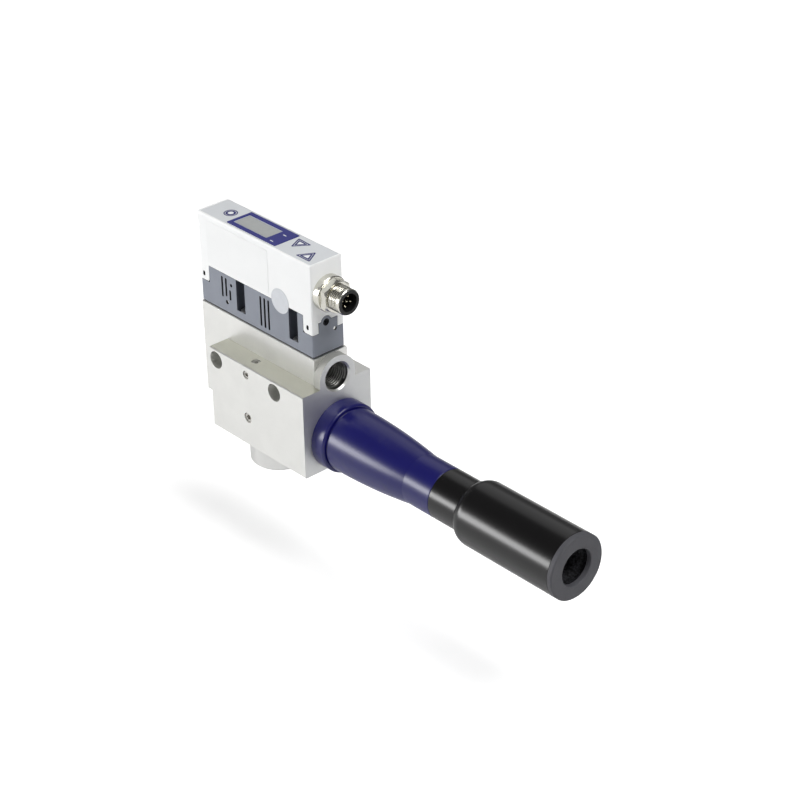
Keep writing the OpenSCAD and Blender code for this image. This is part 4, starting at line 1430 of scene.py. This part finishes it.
@dataclass
class OperatingPanel:
    """The foil's printed keys and the display in its blue frame.

    Attributes:
        top: Height of the foil's surface.
        frame_top: Height of the blue frame.
        ring_key: Centre of the ring key.
        ring_radii: Outer and inner radius of its two rings, the inner ring first.
        up_key: Corners of the key that points to the rear.
        down_key: Corners of the key that points to the mounting face.
        key_lines: How far the edges of a key's two outlines lie inside its corners.
        key_rounds: Radius of the corners of those edges.
        lcd: Low and high corner of the visible panel.
        lcd_border: Width of the panel's printed border.
        lcd_round: Radius of the border's corners.
        lcd_drop: How far below the foil's surface the border's underside lies.
        border_mm: Thickness of the border.
        mark_x: Ends of the two plain marks on the frame.
        mark_y: Their places across the frame.
        mark_half: Half their width.
        mark_round: Radius of their corners.
        mark_sunk: How deep their underside sits in the frame.
        mark_mm: Their thickness.
        ink_mm: Thickness of the blue print.
        white_mm: Thickness of the white print.
        sunk_mm: How deep the print's underside sits in the foil.
    """

    top: float = 83.5
    frame_top: float = 83.75
    ring_key: Pair = (-70.4, 0.0)
    ring_radii: tuple[Pair, Pair] = ((2.4, 1.35), (3.25, 2.7))
    up_key: tuple[Pair, ...] = ((-29.0, 4.9), (-25.8, -1.7), (-21.2, 4.6))
    down_key: tuple[Pair, ...] = ((-13.8, 1.1), (-17.7, -5.7), (-9.7, -5.7))
    key_lines: tuple[float, ...] = (-0.4, 0.24, 0.5, 1.25)
    key_rounds: tuple[float, ...] = (0.5, 0.4, 0.3, 0.15)
    lcd: tuple[Pair, Pair] = ((-62.8, -4.8), (-39.6, 4.8))
    lcd_border: float = 0.4
    lcd_round: float = 0.3
    lcd_drop: float = 0.11
    border_mm: float = 0.06
    mark_x: Pair = (-36.6, -34.6)
    mark_y: Pair = (2.4, -5.1)
    mark_half: float = 0.25
    mark_round: float = 0.2
    mark_sunk: float = 0.02
    mark_mm: float = 0.026
    ink_mm: float = 0.03
    white_mm: float = 0.018
    sunk_mm: float = 0.001

    def print_blue(self, name: str, outer: Sequence[Pair], inner: Sequence[Pair]) -> None:
        """Prints a blue line between two outlines."""
        piece = flat_plate(name, outer, inner, self.top - self.sunk_mm, self.ink_mm)
        hand_over(piece, FOIL_INK)

    def print_white(self, name: str, outer: Sequence[Pair]) -> None:
        """Prints a white field, thinner than the blue."""
        piece = flat_plate(name, outer, None, self.top - self.sunk_mm, self.white_mm)
        hand_over(piece, FOIL_WHITE)

    def print_triangle(self, name: str, corners: Sequence[Pair]) -> None:
        """Prints a double blue outline with white inside.

        Args:
            name: Name of the key.
            corners: Its corners, anticlockwise.
        """
        loops = [
            rounded_loop(inset(corners, line), radius)
            for line, radius in zip(self.key_lines, self.key_rounds)
        ]
        self.print_blue(f"{name}_outer", loops[0], loops[1])
        self.print_blue(f"{name}_inner", loops[2], loops[3])
        self.print_white(f"{name}_field", loops[3])

    def frame_panel(self) -> None:
        """Prints the border of the panel."""
        (x0, y0), (x1, y1) = self.lcd
        corners = [(x0, y0), (x1, y0), (x1, y1), (x0, y1)]
        outer = rounded_loop(corners, self.lcd_round)
        inner = rounded_loop(inset(corners, self.lcd_border), self.lcd_round)
        border = flat_plate("panel_border", outer, inner, self.top - self.lcd_drop, self.border_mm)
        hand_over(border, LCD_EDGE)

    def mark_frame(self) -> None:
        """Prints the two plain marks on the frame."""
        (x0, x1), half = self.mark_x, self.mark_half
        for index, y in enumerate(self.mark_y):
            corners = [(x0, y - half), (x1, y - half), (x1, y + half), (x0, y + half)]
            outline = rounded_loop(corners, self.mark_round)
            low = self.frame_top - self.mark_sunk
            mark = flat_plate(f"frame_mark_{index}", outline, None, low, self.mark_mm)
            hand_over(mark, FOIL_WHITE)

    def build(self) -> None:
        """Makes the frame, the panel's border and the printed keys."""
        dressed_copy("display_frame", "display_frame_moulding", Edge.MACHINED)
        self.frame_panel()
        self.mark_frame()
        for name, radii in zip(("ring_key_inner", "ring_key_outer"), self.ring_radii):
            self.print_blue(name, *(circle_loop(self.ring_key, radius) for radius in radii))
        self.print_white("ring_key_field", circle_loop(self.ring_key, self.ring_radii[0][1]))
        self.print_triangle("up_key", self.up_key)
        self.print_triangle("down_key", self.down_key)


@dataclass
class PlugConnector:
    """The nickel plated plug shell with its hexagon, thread and contacts.

    Attributes:
        axis_z: Height of its axis.
        face: Outer face of the head's end wall.
        collar_r: Radius of the round collar.
        collar_end: End of the collar.
        hex_af: Width of the hexagon across its flats.
        hex_end: End of the hexagon.
        thread_r: Outer radius of the thread.
        thread_end: End of the threaded barrel.
        thread_depth: Depth of the thread.
        thread_pitch: Its pitch.
        neck_drop: How far the neck under the hexagon lies below the thread's crests.
        bore_r: Radius of the bore.
        rear: Inner end of the shell.
        tail_r: Radius of the shell inside the head.
        rim_len: Length of the plain rim at the thread's end.
        rim_edge: Chamfer of the rim and of the collar.
        face_edge: Chamfer of the collar where it meets the head.
        core_step: Length of the step from the neck and from the rim to the thread's core.
        thread_gap: Plain length between the hexagon and the thread's first turn.
        thread_spare: Length of the core that the thread leaves plain, at both ends together.
        hex_edge: How far the hexagon's chamfer cuts into its flats.
    """

    axis_z: float = 68.5
    face: float = -5.3
    collar_r: float = 8.3
    collar_end: float = -1.7
    hex_af: float = 14.2
    hex_end: float = 1.9
    thread_r: float = 6.0
    thread_end: float = 9.0
    thread_depth: float = 0.62
    thread_pitch: float = 1.0
    neck_drop: float = 0.5
    bore_r: float = 4.9
    rear: float = -14.3
    tail_r: float = 5.45
    rim_len: float = 1.5
    rim_edge: float = 0.35
    face_edge: float = 0.1
    core_step: float = 0.2
    thread_gap: float = 0.5
    thread_spare: float = 1.2
    hex_edge: float = 0.12

    def hexagon(self) -> Piece:
        """Makes the hexagon with the chamfer that a turned bar has on its corners.

        Returns:
            The piece.
        """
        flat, edge = self.hex_af / 2, self.hex_edge

        def reach(turn: float) -> float:
            """Radius of the hexagon at an angle, with a flat to the front."""
            return flat / math.cos((turn + math.pi / 6) % (math.pi / 3) - math.pi / 6)

        steps, centre = 180, self.axis_z
        slope = math.tan(math.radians(30))
        rings: list[list[Vector]] = [[] for _ in range(6)]
        for i in range(steps):
            turn = 2 * math.pi * i / steps
            wide = reach(turn)
            drop = (wide - flat + edge) * slope
            y, z = math.cos(turn), math.sin(turn)
            rows = (
                (self.collar_end, self.bore_r),
                (self.collar_end, flat - edge),
                (self.collar_end + drop, wide),
                (self.hex_end - drop, wide),
                (self.hex_end, flat - edge),
                (self.hex_end, self.bore_r),
            )
            for ring, (x, r) in zip(rings, rows):
                ring.append(at(x, r * y, centre + r * z))
        return new_object("plug_hexagon", ring_surface(rings, closed=True), smooth_deg=20.0)

    def shell(self) -> Piece:
        """Turns the collar, the thread's core and the inner end of the shell.

        Returns:
            The piece.
        """
        core, neck = self.thread_r - self.thread_depth, self.thread_r - self.neck_drop
        edge = self.rim_edge
        outline = [
            (self.rear, self.bore_r),
            (self.rear, self.tail_r),
            (self.face, self.tail_r),
            (self.face, self.collar_r - self.face_edge),
            (self.face + self.face_edge, self.collar_r),
            (self.collar_end - edge, self.collar_r),
            (self.collar_end, self.collar_r - edge),
            (self.collar_end, neck),
            (self.hex_end, neck),
            (self.hex_end + self.core_step, core),
            (self.thread_end - self.rim_len - self.core_step, core),
            (self.thread_end - self.rim_len, self.thread_r),
            (self.thread_end - edge, self.thread_r),
            (self.thread_end, self.thread_r - edge),
            (self.thread_end, self.bore_r),
        ]
        return turned_piece("plug_shell", outline, (0.0, self.axis_z), steps=PLUG_TURN)

    def build(self) -> None:
        """Makes the shell, its hexagon and its thread."""
        hand_over(self.shell(), NICKEL, "connector_shell")
        hand_over(self.hexagon(), NICKEL)
        run = self.thread_end - self.hex_end - self.rim_len - self.thread_spare
        foot = self.thread_r - self.thread_depth - RIDGE_FOOT / 2
        thread = ThreadRidge(foot, self.thread_pitch, run, -self.thread_depth)
        start = at(self.hex_end + self.thread_gap, 0, self.axis_z)
        piece = thread.build("plug_thread", start, TO_X, NICKEL)
        hand_over(piece, NICKEL)
        dressed_copy("connector_insert", "plug_insert", Edge.CRISP)
        dressed_copy("connector_pins", "plug_pins", Edge.CRISP, angle_deg=25.0)


@dataclass
class CoilSpring:
    """A coil spring that its valve presses together.

    Attributes:
        node: CAD node of the spring.
        joint: Joint that presses it. Not used.
        travel: Travel of that joint. Not used.
    """

    node: str
    joint: str
    travel: float

    def build(self) -> None:
        """Copies the spring and gives the copy a mesh of its own."""
        piece = dressed_copy(self.node, f"{self.node}_coil", Edge.CRISP)
        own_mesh(piece)


@dataclass(frozen=True)
class Softbox:
    """A rectangular studio lamp.

    Attributes:
        name: Name of the lamp.
        place: Its centre, in metres from the part's middle.
        size: Its width and height in metres.
        watts: Its power.
    """

    name: str
    place: Point
    size: Pair
    watts: float


SOFTBOXES = (
    Softbox("key_lamp", (-0.965, -1.12, 0.13), (0.9, 0.42), 14.0),
    Softbox("top_lamp", (0.6, 0.1, 1.2), (0.7, 0.7), 14.0),
    Softbox("back_lamp", (-0.8, 0.9, 0.95), (1.0, 1.0), 1.8),
    Softbox("side_lamp", (0.85, -1.2, 0.6), (0.8, 0.8), 2.2),
)
# Even light of the room, and the share of white that polished pieces mirror from the floor.
ROOM_LIGHT = 0.16
FLOOR_GLOSS = 0.15


@dataclass
class Studio:
    """Floor, lamps, background and camera.

    Attributes:
        drop_mm: How far the floor lies under the part.
        floor_r: Radius of the floor, in metres.
        floor_lift: Light that the floor adds to what the camera sees of it, so that it reads white.
        lamp_target: Point that the lamps hang about and look at.
        azimuth: Direction of the camera in degrees, from the front towards the silencer's end.
        elevation: Its angle over the horizon.
        roll: Its turn about its own axis.
        distance_mm: Its distance from its target.
        target: Point that it looks at.
        lens_mm: Focal length.
        sensor_mm: Width of its sensor.
    """

    drop_mm: float = 45.0
    floor_r: float = 1.0
    floor_lift: float = 0.55
    lamp_target: Point = (30.0, 0.0, 25.0)
    azimuth: float = 48.12
    elevation: float = 30.26
    roll: float = -0.91
    distance_mm: float = 947.79
    target: Point = (37.57, 2.76, 31.38)
    lens_mm: float = 99.85
    sensor_mm: float = 36.0

    def floor(self) -> None:
        """Lays a pale floor that shows white to the camera and keeps the shadow."""
        low = CAD_BOX[0][2] - self.drop_mm * MM
        shape = bmesh.new()
        bmesh.ops.create_circle(shape, cap_ends=True, radius=self.floor_r, segments=96)
        bmesh.ops.translate(shape, verts=shape.verts, vec=(0, 0, low))
        plane = new_object("studio_floor", shape)
        material = bpy.data.materials.new("white_paper_floor")
        material.use_nodes = True
        tree = material.node_tree
        tree.nodes.clear()
        path = add_node(tree, "ShaderNodeLightPath").outputs
        paper = add_node(tree, "ShaderNodeBsdfDiffuse", {"Color": linear("f2f2f2")}).outputs[0]
        shine = add_node(
            tree,
            "ShaderNodeMath",
            {0: path["Is Glossy Ray"], 1: FLOOR_GLOSS},
            operation="MULTIPLY",
        ).outputs[0]
        lift = add_node(
            tree,
            "ShaderNodeMath",
            {0: path["Is Camera Ray"], 1: self.floor_lift, 2: shine},
            operation="MULTIPLY_ADD",
        ).outputs[0]
        glow = add_node(
            tree, "ShaderNodeEmission", {"Color": (1, 1, 1, 1), "Strength": lift}
        ).outputs[0]
        both = add_node(tree, "ShaderNodeAddShader", {0: paper, 1: glow}).outputs[0]
        add_node(tree, "ShaderNodeOutputMaterial", {"Surface": both})
        plane.data.materials.append(material)

    def hang(self, lamp: Softbox) -> None:
        """Hangs a softbox that looks at the part.

        Args:
            lamp: Its place, size and power.
        """
        light = bpy.data.lights.new(lamp.name, "AREA")
        light.shape = "RECTANGLE"
        light.size, light.size_y = lamp.size
        light.energy = lamp.watts
        hung = bpy.data.objects.new(lamp.name, light)
        bpy.context.scene.collection.objects.link(hung)
        middle = at(*self.lamp_target)
        hung.location = middle + Vector(lamp.place)
        hung.rotation_euler = (middle - hung.location).to_track_quat("-Z", "Y").to_euler()

    def background(self) -> None:
        """Lights the room softly and shows white where the camera looks past the floor."""
        world = bpy.data.worlds.new("studio")
        bpy.context.scene.world = world
        world.use_nodes = True
        tree = world.node_tree
        tree.nodes.clear()
        path = add_node(tree, "ShaderNodeLightPath").outputs
        plain = (1, 1, 1, 1)
        room = add_node(tree, "ShaderNodeBackground", {"Color": plain, "Strength": ROOM_LIGHT})
        white = add_node(tree, "ShaderNodeBackground", {"Color": plain, "Strength": 1.0})
        mixed = add_node(
            tree,
            "ShaderNodeMixShader",
            {0: path["Is Camera Ray"], 1: room.outputs[0], 2: white.outputs[0]},
        )
        add_node(tree, "ShaderNodeOutputWorld", {"Surface": mixed.outputs[0]})

    def camera(self) -> None:
        """Sets the camera at its angle, with its small roll."""
        a, e, r = (math.radians(v) for v in (self.azimuth, self.elevation, self.roll))
        back = Vector((math.sin(a) * math.cos(e), -math.cos(a) * math.cos(e), math.sin(e)))
        right = Vector((math.cos(a), math.sin(a), 0.0))
        up = back.cross(right)
        level = right * math.cos(r) + up * math.sin(r)
        upright = -right * math.sin(r) + up * math.cos(r)
        data = bpy.data.cameras.new("camera")
        data.lens = self.lens_mm
        data.sensor_width = self.sensor_mm
        data.clip_start, data.clip_end = 0.05, 50.0
        eye = bpy.data.objects.new("camera", data)
        bpy.context.scene.collection.objects.link(eye)
        turn = Matrix((level, upright, back)).transposed().to_4x4()
        place = at(*self.target) + back * self.distance_mm * MM
        eye.matrix_world = Matrix.Translation(place) @ turn
        bpy.context.scene.camera = eye

    def build(self) -> None:
        """Sets up the whole studio."""
        self.floor()
        for lamp in SOFTBOXES:
            self.hang(lamp)
        self.background()
        self.camera()
        bpy.context.scene.view_settings.view_transform = "Standard"


def dress_nodes() -> None:
    """Gives every CAD node the finish of its material slot."""
    for name, node in frame["nodes"].items():
        material = SLOT_FINISH[NODE_SLOT[name]].build()
        if not node.material_slots:
            node.data.materials.append(material)
        for slot in node.material_slots:
            slot.material = material


def main() -> None:
    """Builds every sub-assembly and the studio."""
    logging.basicConfig(level=logging.INFO, format="%(name)s: %(message)s")
    dress_nodes()
    valve_spring = CoilSpring("valve_spring", "valve_lift", travel=2.5)
    check_spring = CoilSpring("check_spring", "check_lift", travel=2.0)
    line = (BodyBlock(), VacuumSocket(), NozzleLine(), valve_spring, check_spring)
    for part in (*line, ValveHead(), OperatingPanel(), PlugConnector()):
        part.build()
        LOG.info("%s done", type(part).__name__)
    Studio().build()


if __name__ == "__main__":
    main()
